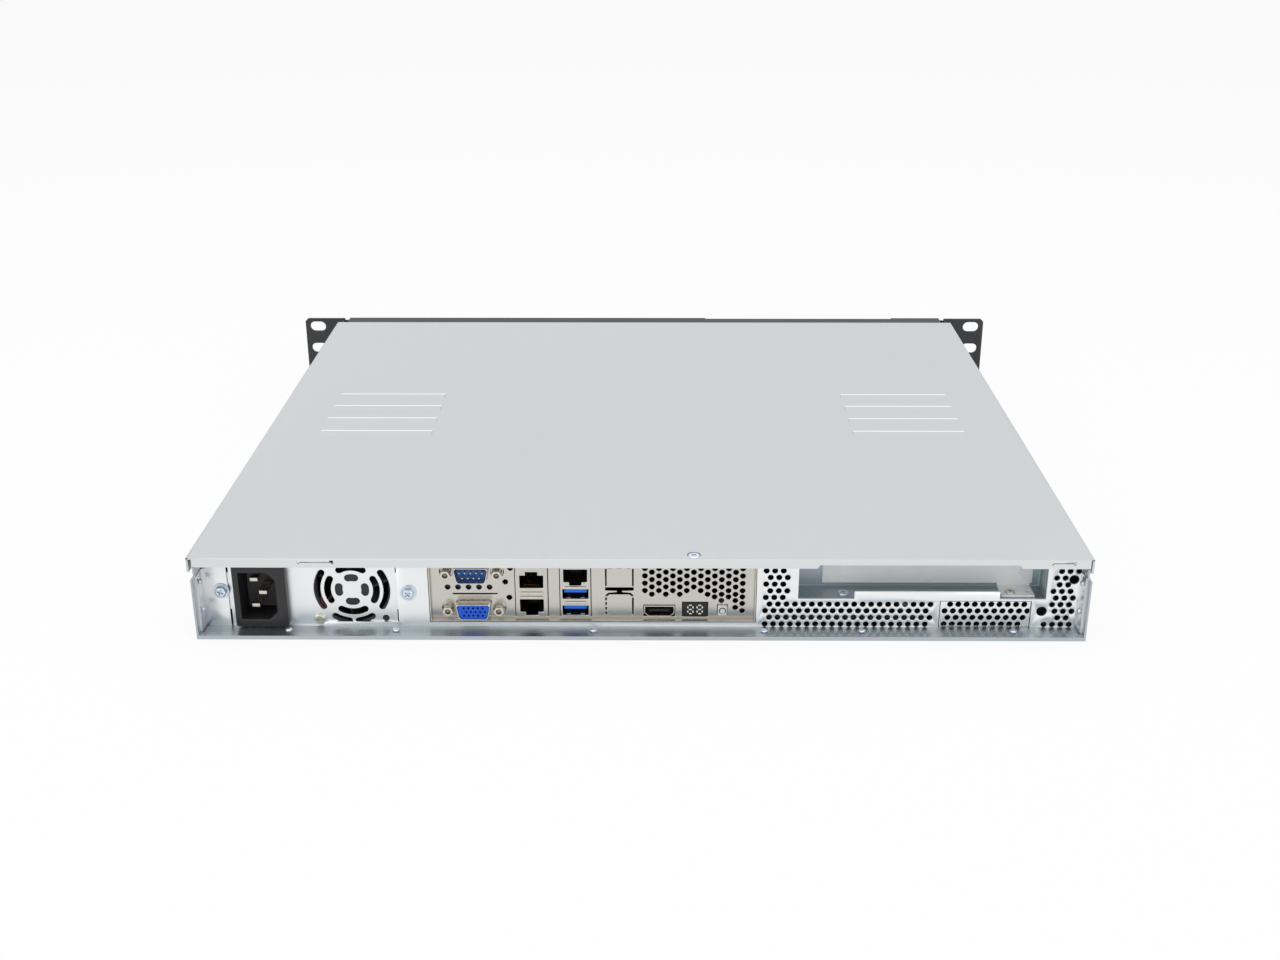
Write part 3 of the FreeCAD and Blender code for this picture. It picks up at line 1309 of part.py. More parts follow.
def make_memory():
    """Two memory slots, their modules, and one swinging latch at each slot's front end."""
    slots, modules = [], []
    rear_end = memory_rear
    for index in range(2):
        x = memory_x - index * memory_pitch
        body = new_body(f"memory_slot_{index + 1}")
        front_end = rear_end - memory_long
        outline = rectangle((x - slot_half, x + slot_half), (front_end, rear_end))
        pad(body, "XY", (board_top, board_top + 8), outline)
        tower = rectangle((x - slot_half, x + slot_half), (rear_end - 4.5, rear_end))
        pad(body, "XY", (board_top + 8, board_top + 18), tower)
        groove = rectangle((x - 0.8, x + 0.8), (front_end + latch_pocket, rear_end - 2))
        pocket(body, "XY", (board_top + 3, board_top + 18), groove)
        well_half = latch_half + 0.15
        well = rectangle((x - well_half, x + well_half), (front_end - 1, front_end + latch_pocket - 1))
        pocket(body, "XY", (board_top + 0.5, board_top + 8), well)
        slots.append(body)

        card = new_body(f"memory_module_{index + 1}")
        low, top = board_top + 3, board_top + 3 + module_tall
        near, far = front_end + latch_pocket + 0.3, rear_end - 2.3
        notch_y = near + 60
        board = [
            (near, low),
            (notch_y, low),
            (notch_y, low + 2.5),
            (notch_y + 1.5, low + 2.5),
            (notch_y + 1.5, low),
            (far, low),
            (far, top),
            (near, top),
        ]
        pad(card, "YZ", (x - 0.6, x + 0.6), board)
        for index_along in range(8):
            chip = near + 6 + index_along * 16
            chips = rectangle((chip, chip + 10), (low + 8, low + 22))
            pad(card, "YZ", (x - 1.7, x - 0.6), chips)
        modules.append(card)

        latch = new_body(f"memory_latch_{'ab'[index]}")
        pivot_y, pivot_z = front_end + 3, board_top + 4
        lever = [
            (pivot_y - 2.4, pivot_z - 2.2),
            (pivot_y + 1.6, pivot_z - 2.2),
            (pivot_y + 1.6, pivot_z + 9),
            (pivot_y + 2.6, pivot_z + 10),
            (pivot_y + 2.6, pivot_z + 12),
            (pivot_y + 0.5, pivot_z + 14),
            (pivot_y - 3.4, pivot_z + 14),
            (pivot_y - 3.4, pivot_z + 12),
            (pivot_y - 2.4, pivot_z + 10),
        ]
        pad(latch, "YZ", (x - latch_half, x + latch_half), lever)
        node(f"memory_latch_{'ab'[index]}", latch)
    node("memory_slots", group("memory_slots", slots))
    node("memory_modules", group("memory_modules", modules))


def make_riser():
    """The expansion slot on the mainboard and the riser card that stands in it."""
    low = board_top
    slot = new_body("expansion_slot")
    reach = slot_half + 0.4
    along = (riser_rear - riser_long, riser_rear)
    pad(slot, "XY", (low, low + 11), rectangle((riser_x - reach, riser_x + reach), along))
    groove_side = board_sheet / 2 + 0.1
    groove_ends = (along[0] + 2, along[1] - 2)
    slit = rectangle((riser_x - groove_side, riser_x + groove_side), groove_ends)
    pocket(slot, "XY", (low + 4, low + 11), slit)
    node("expansion_slot", slot)

    card = new_body("riser_card")
    outline = [
        (along[0] + 2.3, low + 4),
        (along[1] - 2.3, low + 4),
        (along[1] - 2.3, low + 11.3),
        (along[1] + 6, low + 11.3),
        (along[1] + 6, tray_top - 2.5),
        (along[0] - 6, tray_top - 2.5),
        (along[0] - 6, low + 11.3),
        (along[0] + 2.3, low + 11.3),
    ]
    faces = (riser_x - board_sheet / 2, riser_x + board_sheet / 2)
    pad(card, "YZ", faces, outline)
    middle = pocket_low + 10
    socket = rectangle(along, (middle - 3.8, middle + 3.8))
    mouth = faces[0] - riser_socket
    pad(card, "YZ", (mouth, faces[0]), socket)
    groove = rectangle(groove_ends, (middle - 0.9, middle + 0.9))
    pocket(card, "YZ", (mouth, faces[0] - 3), groove)
    node("riser_card", card)


def make_chipset_sink():
    body = new_body("chipset_heatsink")
    x, y = (board_right + 21, board_right + 53), (board_front + 40, board_front + 76)
    pad(body, "XY", (board_top, board_top + 4), rectangle(x, y))
    fin = pad(body, "XY", (board_top + 4, board_top + 12), rectangle((x[0], x[0] + 1.4), y))
    repeat(body, [fin], ("X", (32 - 1.4) / 7, 8))
    return node("chipset_heatsink", body)


def make_board_parts():
    """Power coils, can capacitors, the power and drive sockets, and two port switches."""
    parts = []
    coil_y = cpu_y + sink_side / 2 + 7
    for index in range(6):
        x = cpu_x - 33 + index * 12
        parts.append(block("coil", (x, x + 8.5), (coil_y, coil_y + 8.5), (board_top, board_top + 7)))
    for index in range(5):
        x = cpu_x - 27 + index * 12
        parts.append(peg("capacitor", "Z", (x, coil_y + 15, board_top), 3.1, 8))
    power = new_body("power_socket")
    edge = board_left - 4
    shell = rectangle((edge - 9, edge), (board_front + 60, board_front + 112))
    pad(power, "XY", (board_top, board_top + 12), shell)
    for side in (edge - 8, edge - 4.1):
        groove = rectangle((side, side + 3.1), (board_front + 62, board_front + 110))
        pocket(power, "XY", (board_top + 5, board_top + 12), groove)
    parts.append(power)
    for index in range(3):
        y = board_front + 6
        x = board_left - 40 - index * 22
        parts.append(block("drive_socket", (x, x + 14.5), (y, y + 6), (board_top, board_top + 9)))
    key_y = shield_back - 4.6
    parts.append(block("id_switch", (id_x - 3, id_x + 3), (key_y - 3.5, key_y), (board_top, id_z + 2.5)))
    return node("board_parts", group("board_parts", parts))


def make_coin_cell():
    """A flat cell lying in its round holder."""
    body = new_body("coin_cell")
    x, y = board_right + 29, board_front + 108
    pad(body, "XY", (board_top, board_top + 2), ngon(x, y, 12, 24))
    pad(body, "XY", (board_top + 2, board_top + 5), ngon(x, y, 10, 24))
    return node("coin_cell", body)


# ---------------------------------------------------------------- air and drives

def make_fan_bracket():
    """A bent plate behind the chassis fans, with an opening for each, and a foot."""
    body = new_body("fan_bracket")
    face = fan_face
    reach = fan_spacing + fan_size / 2 + 6
    low, top = skin, skin + fan_size + 2
    openings = [ngon(fan_middle + side * fan_spacing, fan_z, fan_size / 2 - 0.9, 20) for side in (-1, 0, 1)]
    plate = rectangle((fan_middle - reach, fan_middle + reach), (low, top))
    pad(body, "XZ", (face, face + 1), plate, *openings)
    foot = rectangle((fan_middle - reach, fan_middle + reach), (face - fan_depth, face))
    pad(body, "XY", (low, low + 1), foot)
    return node("fan_bracket", body)


def make_drive_tray():
    """A raised cradle: feet turned in on the floor, a deck, and an upright wall along each long side."""
    body = new_body("drive_tray")
    near, far = drive_front - 0.2, drive_front + drive_wide + 0.2
    deck = drive_rise
    lip = 14
    foot = 8
    profile = [
        (near - tray_sheet, skin),
        (near + foot, skin),
        (near + foot, skin + tray_sheet),
        (near, skin + tray_sheet),
        (near, deck - tray_sheet),
        (far, deck - tray_sheet),
        (far, skin + tray_sheet),
        (far - foot, skin + tray_sheet),
        (far - foot, skin),
        (far + tray_sheet, skin),
        (far + tray_sheet, deck + lip),
        (far, deck + lip),
        (far, deck),
        (near, deck),
        (near, deck + lip),
        (near - tray_sheet, deck + lip),
    ]
    span = (drive_right + 8, drive_right + drive_long - 8)
    pad(body, "YZ", span, profile)
    return node("drive_tray", body)


def make_hard_drive():
    """A cast case with a stepped lid and a recess for its circuit board below."""
    body = new_body("hard_drive")
    x = (drive_right, drive_right + drive_long)
    y = (drive_front, drive_front + drive_wide)
    top = drive_rise + drive_high
    pad(body, "XY", (drive_rise, top - 1.2), rectangle(x, y))
    lid = rectangle((x[0] + 3, x[1] - 8), (y[0] + 3, y[1] - 3), 8)
    pad(body, "XY", (top - 1.2, top), lid)
    under = rectangle((x[0] + 12, x[1] - 4), (y[0] + 6, y[1] - 6))
    pocket(body, "XY", (drive_rise, drive_rise + 2), under)
    socket = rectangle((x[1] - 7, x[1]), (y[0] + 30, y[0] + 63))
    pocket(body, "XY", (drive_rise, drive_rise + 6), socket)
    return node("hard_drive", body)


def make_optical_bracket():
    """A folded table that carries the optical drive over the lower vents."""
    body = new_body("optical_bracket")
    left, right = -disc_left, -disc_left - disc_wide
    deck = disc_rise
    profile = [
        (right - 1, skin),
        (right, skin),
        (right, deck - 1),
        (left, deck - 1),
        (left, skin),
        (left + 1, skin),
        (left + 1, deck + 8),
        (left, deck + 8),
        (left, deck),
        (right, deck),
        (right, deck + 8),
        (right - 1, deck + 8),
    ]
    pad(body, "XZ", (disc_front + 20, disc_front + 110), profile)
    return node("optical_bracket", body)


def make_optical_drive():
    """The flat drive case, open at the front where its tray slides out."""
    body = new_body("optical_drive")
    left, right = -disc_left, -disc_left - disc_wide
    top = disc_rise + disc_high
    pad(body, "XY", (disc_rise, top), rectangle((right, left), (disc_front, disc_front + disc_long)))
    hollow = rectangle((right + 0.8, left - 0.8), (disc_rise + 0.8, top - 0.8))
    pocket(body, "XZ", (disc_front, disc_front + disc_long - 2), hollow)
    return node("optical_drive", body)


def make_disc_tray():
    """The sliding tray with its bezel, a round disc recess and a well for the hub."""
    body = new_body("disc_tray")
    left, right = -disc_left - 1.1, -disc_left - disc_wide + 1.1
    middle = -disc_left - disc_wide / 2
    low, top = disc_rise + 2.5, disc_rise + 8.5
    bezel = rectangle((right - 0.8, left + 0.8), (disc_rise + 0.2, disc_rise + disc_high - 0.2))
    pad(body, "XZ", (front - button_proud * 0.6, disc_front - 0.3), bezel)
    deck = rectangle((right, left), (disc_front - 0.3, disc_front + disc_long - 2.5))
    pad(body, "XY", (low, top), deck)
    centre = disc_front + disc_long / 2 - 1
    pocket(body, "XY", (low + 3, top), ngon(middle, centre, 60.5, 30))
    pocket(body, "XY", (low + 1, low + 3), ngon(middle, centre, 9.5, 16))
    button = rectangle((eject_x - 5.4, eject_x + 5.4), (disc_rise + 2.2, disc_rise + 5.2))
    pocket(body, "XZ", (front - button_proud * 0.6, disc_front - 0.3), button)
    node("disc_tray", body)

    hub = new_body("spindle_hub")
    seat = low + 1 + shaft_gap
    pad(hub, "XY", (seat, seat + 2.4), ngon(middle, centre, 8.5, 16))
    pad(hub, "XY", (seat + 2.4, seat + 4), ngon(middle, centre, 7.4, 16))
    node("spindle_hub", hub)

    key = new_body("eject_button")
    cap = rectangle((eject_x - 5, eject_x + 5), (disc_rise + 2.5, disc_rise + 4.9))
    pad(key, "XZ", (front - button_proud, disc_front - 1.8), cap)
    node("eject_button", key)


def make_front_board():
    """A small circuit board behind the panel for the buttons, lights and sockets."""
    low = skin + panel_sheet
    x = (front_board_right, front_board_right + front_board_wide)
    y = (front_board_face, front_board_face + board_sheet)
    return node("front_board", block("front_board", x, y, (low, low + 34)))


def make_front_button(name, x, z, radius):
    """A round cap with a collar behind the panel."""
    body = new_body(name)
    cap_back = front + panel_sheet + 1.5
    pad(body, "XZ", (front - button_proud, cap_back), ngon(x, z, radius, 20))
    stem_end = front_board_face - button_travel - 0.3
    pad(body, "XZ", (cap_back, stem_end), ngon(x, z, radius * 0.6, 12))
    return node(name, body)


def make_front_ports():
    """Two flat sockets, one above the other, on the front board."""
    shells = []
    for index in range(2):
        z = front_usb_z + index * front_usb_step
        body = new_body(f"front_usb_{index + 1}")
        case = rectangle((front_usb_x - 6.6, front_usb_x + 6.6), (z - 2.85, z + 2.85))
        pad(body, "XZ", (front + 0.2, front_board_face), case)
        mouth = rectangle((front_usb_x - 6.1, front_usb_x + 6.1), (z - 2.35, z + 2.35))
        pocket(body, "XZ", (front + 0.2, front_board_face - 1), mouth)
        tongue = rectangle((front_usb_x - 5.4, front_usb_x + 5.4), (z + 0.3, z + 1.8))
        pad(body, "XZ", (front + 1.5, front_board_face - 1), tongue)
        shells.append(body)
    return node("front_usb_ports", group("front_usb_ports", shells))


def light_places():
    return [(light_x - light_pitch * index, light_z) for index in range(4)]


def make_front_lights():
    """Four clear light guides from the front board to the panel's face."""
    guides = []
    for x, z in light_places():
        guides.append(prism("light", "Y", (x, front - 0.3, z), light_across, front_board_face - front + 0.3))
    return node("front_lights", group("front_lights", guides))


# ---------------------------------------------------------------- the whole part

def make_all():
    make_tray()
    make_rear_wall()
    make_vent_plate()
    make_io_shield()
    make_expansion_bracket()
    make_slot_cover()
    make_cover()
    make_cover_screw()
    make_front_panel()
    make_ear("ear_left", 1)
    make_ear("ear_right", -1)
    make_rivets()
    make_psu_case()
    make_inlet()
    make_inlet_pins()
    fan_rear = wall_back - psu_sheet
    psu_fan_z = skin + psu_height / 2
    make_fan("psu_fan_frame", "psu_fan_rotor", psu_fan, psu_fan_depth, psu_fan_side, fan_rear, psu_fan_z, 7)
    make_rear_screws()
    make_serial_port()
    make_vga_port()
    make_jackscrews()
    make_lan_ports()
    make_usb_lan_stack()
    make_hdmi_port()
    make_code_display()
    make_id_button()
    make_board()
    make_standoffs()
    make_board_screws()
    make_cpu_socket()
    make_heatsink()
    make_memory()
    make_riser()
    make_chipset_sink()
    make_board_parts()
    make_coin_cell()
    make_fan_bracket()
    for label, step in (("left", 1), ("middle", 0), ("right", -1)):
        x = fan_middle + fan_spacing * step
        make_fan(f"fan_frame_{label}", f"fan_rotor_{label}", fan_size, fan_depth, x, fan_face, fan_z, 7)
    make_drive_tray()
    make_hard_drive()
    make_optical_bracket()
    make_optical_drive()
    make_disc_tray()
    make_front_board()
    make_front_button("power_button", power_x, power_z, power_radius)
    make_front_button("reset_button", reset_x, reset_z, reset_radius)
    make_front_ports()
    make_front_lights()


def check():
    """Stop if any feature failed or any piece is empty or broken."""
    for item in doc.Objects:
        if "Invalid" in item.State or "Error" in item.State:
            raise RuntimeError(f"{item.Name} is {item.State}")
    for piece in NODES:
        if piece.Shape.isNull() or not piece.Shape.isValid():
            raise RuntimeError(f"{piece.Label} has no valid shape")


make_all()
doc.recompute()
check()
os.makedirs("parts", exist_ok=True)
for piece in NODES:
    piece.Shape.exportStep(f"parts/{piece.Label}.step")
print(len(NODES), "nodes")
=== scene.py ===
# %% [markdown]
# A rack server, one rack unit high, seen from behind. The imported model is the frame: every piece below
# is placed from its node boxes, so nothing has to be fitted by eye. Sheet metal and connectors are drawn
# in millimetres, as on a workshop drawing, and a finished piece is scaled to metres once, by MM.

# %% Load the frame
import math

import bmesh
import bpy
from mathutils import Matrix, Vector


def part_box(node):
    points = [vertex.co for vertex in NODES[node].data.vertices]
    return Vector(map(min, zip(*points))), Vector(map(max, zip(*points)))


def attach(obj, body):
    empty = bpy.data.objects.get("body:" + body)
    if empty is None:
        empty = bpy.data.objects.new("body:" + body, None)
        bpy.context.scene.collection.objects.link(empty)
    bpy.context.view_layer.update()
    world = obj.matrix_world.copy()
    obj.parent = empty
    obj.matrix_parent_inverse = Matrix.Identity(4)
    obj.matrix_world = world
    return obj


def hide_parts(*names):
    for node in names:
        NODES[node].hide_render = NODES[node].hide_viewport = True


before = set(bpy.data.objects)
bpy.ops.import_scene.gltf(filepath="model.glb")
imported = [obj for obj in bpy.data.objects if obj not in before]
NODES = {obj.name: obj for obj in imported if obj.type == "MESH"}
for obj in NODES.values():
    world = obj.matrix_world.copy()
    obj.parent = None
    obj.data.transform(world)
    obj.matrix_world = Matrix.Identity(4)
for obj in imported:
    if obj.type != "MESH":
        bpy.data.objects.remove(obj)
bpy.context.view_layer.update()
MM = 0.001


def box_mm(node):
    """The lowest and highest corner of a node in millimetres."""
    low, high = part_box(node)
    return low / MM, high / MM


# %% [markdown]
# A few small helpers draw sheet metal. A stamped sheet is an outline with holes and a thickness, so it
# could be a solid with cylinders subtracted. Here the outline and every hole are closed loops of edges
# in one plane. One fill then makes the face between them, and one extrusion gives the thickness. That
# keeps hundreds of vents exact, closed and light.

# %% Flat sheets with holes
PLANES = {
    "XZ": (Vector((1, 0, 0)), Vector((0, 0, 1)), Vector((0, 1, 0))),
    "XY": (Vector((1, 0, 0)), Vector((0, 1, 0)), Vector((0, 0, 1))),
    "YZ": (Vector((0, 1, 0)), Vector((0, 0, 1)), Vector((1, 0, 0))),
}


def edges_of(verts):
    """The edges between a set of vertices."""
    return list({edge for vert in verts for edge in vert.link_edges})


def rect(u, v):
    """The four corners of a rectangle, from its two spans."""
    return [(u[0], v[0]), (u[1], v[0]), (u[1], v[1]), (u[0], v[1])]


def loop(bm, plane, level, points):
    """A closed loop of edges through points (u, v) of a plane at one level."""
    across, up, out = PLANES[plane]
    verts = [bm.verts.new(across * u + up * v + out * level) for u, v in points]
    return [bm.edges.new(pair) for pair in zip(verts, verts[1:] + verts[:1])]


def circle(bm, plane, level, place, radius, segments=24):
    """A closed round loop in a plane."""
    across, up, out = PLANES[plane]
    turn = Matrix((across, up, out)).transposed().to_4x4()
    middle = across * place[0] + up * place[1] + out * level
    made = bmesh.ops.create_circle(
        bm, cap_ends=False, segments=segments, radius=radius, matrix=Matrix.Translation(middle) @ turn
    )
    return edges_of(made["verts"])


def sheet(bm, plane, span, outline, holes=(), rounds=(), segments=20):
    """A sheet between two levels: an outline, holes of any outline, and round holes (u, v, radius)."""
    out = PLANES[plane][2]
    edges = loop(bm, plane, span[0], outline)
    for hole in holes:
        edges += loop(bm, plane, span[0], hole)
    for u, v, radius in rounds:
        edges += circle(bm, plane, span[0], (u, v), radius, segments)
    filled = bmesh.ops.triangle_fill(bm, use_beauty=True, use_dissolve=False, edges=edges)
    faces = [item for item in filled["geom"] if isinstance(item, bmesh.types.BMFace)]
    raised = bmesh.ops.extrude_face_region(bm, geom=faces)
    moved = [item for item in raised["geom"] if isinstance(item, bmesh.types.BMVert)]
    bmesh.ops.translate(bm, verts=moved, vec=out * (span[1] - span[0]))
    return moved


# %% [markdown]
# Blocks and bars come from a cube and a cone. Every cut or moulded part has a small edge radius, and it
# is that edge which catches the light, so `soften` bevels whatever is sharper than a given angle.

# %% Blocks, bars and softened edges
AXIS_TURN = {
    "X": Matrix.Rotation(math.radians(90), 4, "Y"),
    "Y": Matrix.Rotation(math.radians(-90), 4, "X"),
    "Z": Matrix.Identity(4),
}


def block(bm, low, high):
    """A block between two corners."""
    low, high = Vector(low), Vector(high)
    size = Matrix.Diagonal((*(high - low), 1))
    return bmesh.ops.create_cube(bm, size=1, matrix=Matrix.Translation((low + high) / 2) @ size)["verts"]


def bar(bm, axis, start, radius, length, segments=24, far_radius=None):
    """A round bar or cone from a start point along an axis."""
    step = {"X": Vector((1, 0, 0)), "Y": Vector((0, 1, 0)), "Z": Vector((0, 0, 1))}[axis]
    far = radius if far_radius is None else far_radius
    matrix = Matrix.Translation(Vector(start) + step * length / 2) @ AXIS_TURN[axis]
    made = bmesh.ops.create_cone(
        bm, cap_ends=True, segments=segments, radius1=radius, radius2=far, depth=length, matrix=matrix
    )
    return made["verts"]


def soften(bm, width, angle=40, segments=2, verts=None):
    """Bevel the edges that are sharper than an angle, of everything or of the given vertices."""
    pool = edges_of(verts) if verts else bm.edges
    limit = math.radians(angle)
    sharp = [edge for edge in pool if len(edge.link_faces) == 2 and edge.calc_face_angle(0) > limit]
    bmesh.ops.bevel(
        bm, geom=sharp, offset=width, offset_type="OFFSET", affect="EDGES", segments=segments, profile=0.5,
        material=-1, clamp_overlap=True,
    )


# %% [markdown]
# `piece` scales a drawing to metres, gives it its finish and lets it ride on its body. Its vertices hold
# its place, so the object itself stays at the origin like the nodes do, and every pattern that reads
# Object coordinates stays at one scale over the whole machine.

# %% Finish a piece
# Faces larger than this many square millimetres are drawn flat, so that only small bends are shaded round.
FLAT_ABOVE = 400


def piece(name, bm, finish, body="chassis", instead_of=(), smooth_angle=35):
    """Turn a drawing into a piece that rides on a body and stands for some nodes."""
    bmesh.ops.recalc_face_normals(bm, faces=bm.faces)
    bmesh.ops.scale(bm, vec=(MM, MM, MM), verts=bm.verts)
    limit = math.radians(smooth_angle)
    for face in bm.faces:
        face.smooth = face.calc_area() < FLAT_ABOVE * MM * MM
    for edge in bm.edges:
        edge.smooth = len(edge.link_faces) == 2 and edge.calc_face_angle(0) < limit
    mesh = bpy.data.meshes.new(name)
    bm.to_mesh(mesh)
    bm.free()
    item = bpy.data.objects.new(name, mesh)
    bpy.context.scene.collection.objects.link(item)
    finishes = finish if isinstance(finish, (list, tuple)) else [finish]
    for one in finishes:
        mesh.materials.append(one)
    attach(item, body)
    if instead_of:
        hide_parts(*instead_of)
    return item


def eased(node, name, finish, body="chassis", width=0.25, segments=2, angle=40):
    """A copy of a node with its edges eased, shown in its place."""
    bm = bmesh.new()
    bm.from_mesh(NODES[node].data)
    bmesh.ops.scale(bm, vec=(1 / MM, 1 / MM, 1 / MM), verts=bm.verts)
    bmesh.ops.remove_doubles(bm, verts=bm.verts, dist=0.002)
    bmesh.ops.dissolve_limit(bm, angle_limit=math.radians(1), verts=bm.verts, edges=bm.edges)
    soften(bm, width, angle, segments)
    return piece(name, bm, finish, body, [node])


# %% [markdown]
# Shader sums read best as sums. `Value` wraps a socket and adds a Math node for every operator, and
# `Finish` starts a material and adds any other node by its type, its settings and its inputs.

# %% Shader sums
class Value:
    """A number socket that takes part in sums."""

    def __init__(self, finish, socket):
        self.finish = finish
        self.socket = socket

    def sum(self, operation, first, second):
        node = self.finish.node("ShaderNodeMath", {"operation": operation}, {0: first, 1: second})
        return Value(self.finish, node.outputs[0])

    def __add__(self, other):
        return self.sum("ADD", self, other)

    def __mul__(self, other):
        return self.sum("MULTIPLY", self, other)

    def __sub__(self, other):
        return self.sum("SUBTRACT", self, other)

    def __gt__(self, other):
        return self.sum("GREATER_THAN", self, other)


class Finish:
    """A material and its principled shader."""

    def __init__(self, name, **constants):
        self.material = bpy.data.materials.new(name)
        self.material.use_nodes = True
        self.tree = self.material.node_tree
        self.shader = self.tree.nodes["Principled BSDF"]
        for socket, value in constants.items():
            self.shader.inputs[socket.replace("_", " ")].default_value = value

    def node(self, kind, settings=None, inputs=None):
        """Add a node: its settings first, then a value or a link for each named socket."""
        made = self.tree.nodes.new(kind)
        for key, value in (settings or {}).items():
            setattr(made, key, value)
        for key, value in (inputs or {}).items():
            if isinstance(value, Value):
                value = value.socket
            if isinstance(value, bpy.types.NodeSocket):
                self.tree.links.new(value, made.inputs[key])
            else:
                made.inputs[key].default_value = value
        return made

    def place(self, scale=(1, 1, 1)):
        """Object coordinates, stretched per axis."""
        coordinates = self.node("ShaderNodeTexCoord").outputs["Object"]
        return self.node("ShaderNodeMapping", None, {"Vector": coordinates, "Scale": scale}).outputs["Vector"]

    def noise(self, scale, stretch=(1, 1, 1), detail=3.0, rough=0.5):
        """Fractal noise from 0 to 1."""
        made = self.node(
            "ShaderNodeTexNoise", None,
            {"Vector": self.place(stretch), "Scale": scale, "Detail": detail, "Roughness": rough},
        )
        return Value(self, made.outputs["Fac"])

    def cells(self, scale, stretch=(1, 1, 1)):
        """One random grey per cell, as in the crystals of a zinc coat."""
        made = self.node("ShaderNodeTexVoronoi", None, {"Vector": self.place(stretch), "Scale": scale})
        grey = self.node("ShaderNodeRGBToBW", None, {0: made.outputs["Color"]})
        return Value(self, grey.outputs[0])

    def mix(self, factor, first, second):
        """A colour between two colours."""
        made = self.node("ShaderNodeMix", {"data_type": "RGBA"}, {"Factor": factor, "A": first, "B": second})
        return made.outputs[2]

    def set(self, socket, value):
        """Drive one of the shader's own sockets."""
        value = value.socket if isinstance(value, Value) else value
        self.tree.links.new(value, self.shader.inputs[socket])

    def bump(self, height, distance, strength=1.0):
        """Raise the surface by a height from 0 to 1, times a distance."""
        made = self.node(
            "ShaderNodeBump", None, {"Height": height, "Distance": distance, "Strength": strength}
        )
        self.set("Normal", made.outputs["Normal"])


def rgb(red, green, blue):
    """A colour as the eye reads it on a screen, from 0 to 255, in the shader's linear numbers."""
    parts = [channel / 255 for channel in (red, green, blue)]
    linear = [part / 12.92 if part <= 0.04045 else ((part + 0.055) / 1.055) ** 2.4 for part in parts]
    return (*linear, 1.0)


# %% [markdown]
# The case is made of three kinds of steel. The cover and the chassis are zinc-coated sheet: a soft grey
# metal with a faint grain along the rolling direction and slow, barely seen patches of cooler and warmer
# grey. The port shield is thin bright stainless, and the ears and front wear a black powder coat.
# Metal colour lives in Base Color and Roughness, so both are driven by the same stretched noise.

# %% Steel finishes
def coated_steel(name, colour, roughness, grain=1.0, spangle=0.0, metallic=1.0):
    """Zinc-coated sheet: grain along Y, slow patches and, where asked, crystals."""
    finish = Finish(name, Metallic=metallic, Roughness=roughness)
    fine = finish.noise(90, (9, 0.35, 9), 4.0, 0.6)
    patches = finish.noise(7, (1, 0.5, 1), 2.0)
    tone = (fine - 0.5) * (0.5 * grain) + (patches - 0.5) * 0.4
    if spangle:
        crystals = finish.cells(260)
        tone = tone + (crystals - 0.5) * spangle
    darker = [channel * 0.93 for channel in colour[:3]] + [1]
    lighter = [min(1, channel * 1.07) for channel in colour[:3]] + [1]
    finish.set("Base Color", finish.mix(tone + 0.5, darker, lighter))
    finish.set("Roughness", (fine - 0.5) * 0.12 + roughness)
    finish.bump(fine, 0.004 * MM, 0.2 * grain)
    return finish.material


COVER_STEEL = coated_steel("cover_steel", rgb(200, 204, 205), 0.42, 0.5)
# Painted highlight: a lighter copy of the cover steel for the rear lip, where the light falls on the fold.
LIP_HIGHLIGHT_STEEL = coated_steel("lip_highlight_steel", rgb(218, 221, 221), 0.4, 0.3)
CASE_STEEL = coated_steel("case_steel", rgb(236, 238, 239), 0.36, 0.3, 0.10)
# Painted light: a near-white, non-metallic copy of the zinc-coated steel, so the slot blank in the shaded
# pocket reads as lit.
LIT_SLOT_STEEL = coated_steel("lit_slot_steel", rgb(250, 253, 254), 0.5, 0.3, 0.05, 0.0)
# Painted shade: a darker copy of the zinc-coated steel for the floor flange under the lip and the shelf deep
# in the expansion pocket.
SHADED_STEEL = coated_steel("shaded_steel", rgb(168, 178, 184), 0.42, 0.3, 0.08)
# Painted highlight: a near-white steel for the band along each louvre's rounded front rim.
LOUVRE_HIGHLIGHT = coated_steel("louvre_highlight", rgb(252, 252, 252), 0.3, 0.3)
# Painted shade: a darker copy of the zinc-coated steel for the chassis tray, which lies in the shade under the
# cover.
SHADED_TRAY_STEEL = coated_steel("shaded_tray_steel", rgb(178, 186, 192), 0.34, 0.3, 0.08)
SHIELD_STEEL = coated_steel("shield_steel", rgb(200, 197, 191), 0.24, 0.3)


def powder_coat(name, colour, roughness):
    """Black powder coat: a fine orange peel that breaks up the shine."""
    finish = Finish(name, Roughness=roughness, Base_Color=colour)
    peel = finish.noise(1600, detail=2.0)
    finish.set("Roughness", (peel - 0.5) * 0.25 + roughness)
    dust = finish.noise(60)
    lighter = [channel * 1.5 for channel in colour[:3]] + [1]
    finish.set("Base Color", finish.mix(dust, colour, lighter))
    finish.bump(peel, 0.08 * MM, 0.6)
    return finish.material


BLACK_COAT = powder_coat("black_coat", rgb(38, 39, 41), 0.55)
print("steel finishes:", len(bpy.data.materials))

# %% [markdown]
# Plated screws and posts are small bright metals with a little stain. Moulded plastics have a fine
# sparked texture. A circuit board is a coated laminate with traces that show as slightly lighter
# green, so its pattern is a coarse cell noise cut into steps.

# %% Plated metals, plastics and boards
def plated(name, colour, roughness):
    """Bright plating with light staining."""
    finish = Finish(name, Metallic=1.0, Base_Color=colour)
    stain = finish.noise(500, detail=4.0)
    dull = [channel * 0.72 for channel in colour[:3]] + [1]
    finish.set("Base Color", finish.mix(stain * 0.8, colour, dull))
    finish.set("Roughness", stain * 0.25 + roughness)
    finish.bump(stain, 0.02 * MM, 0.3)
    return finish.material


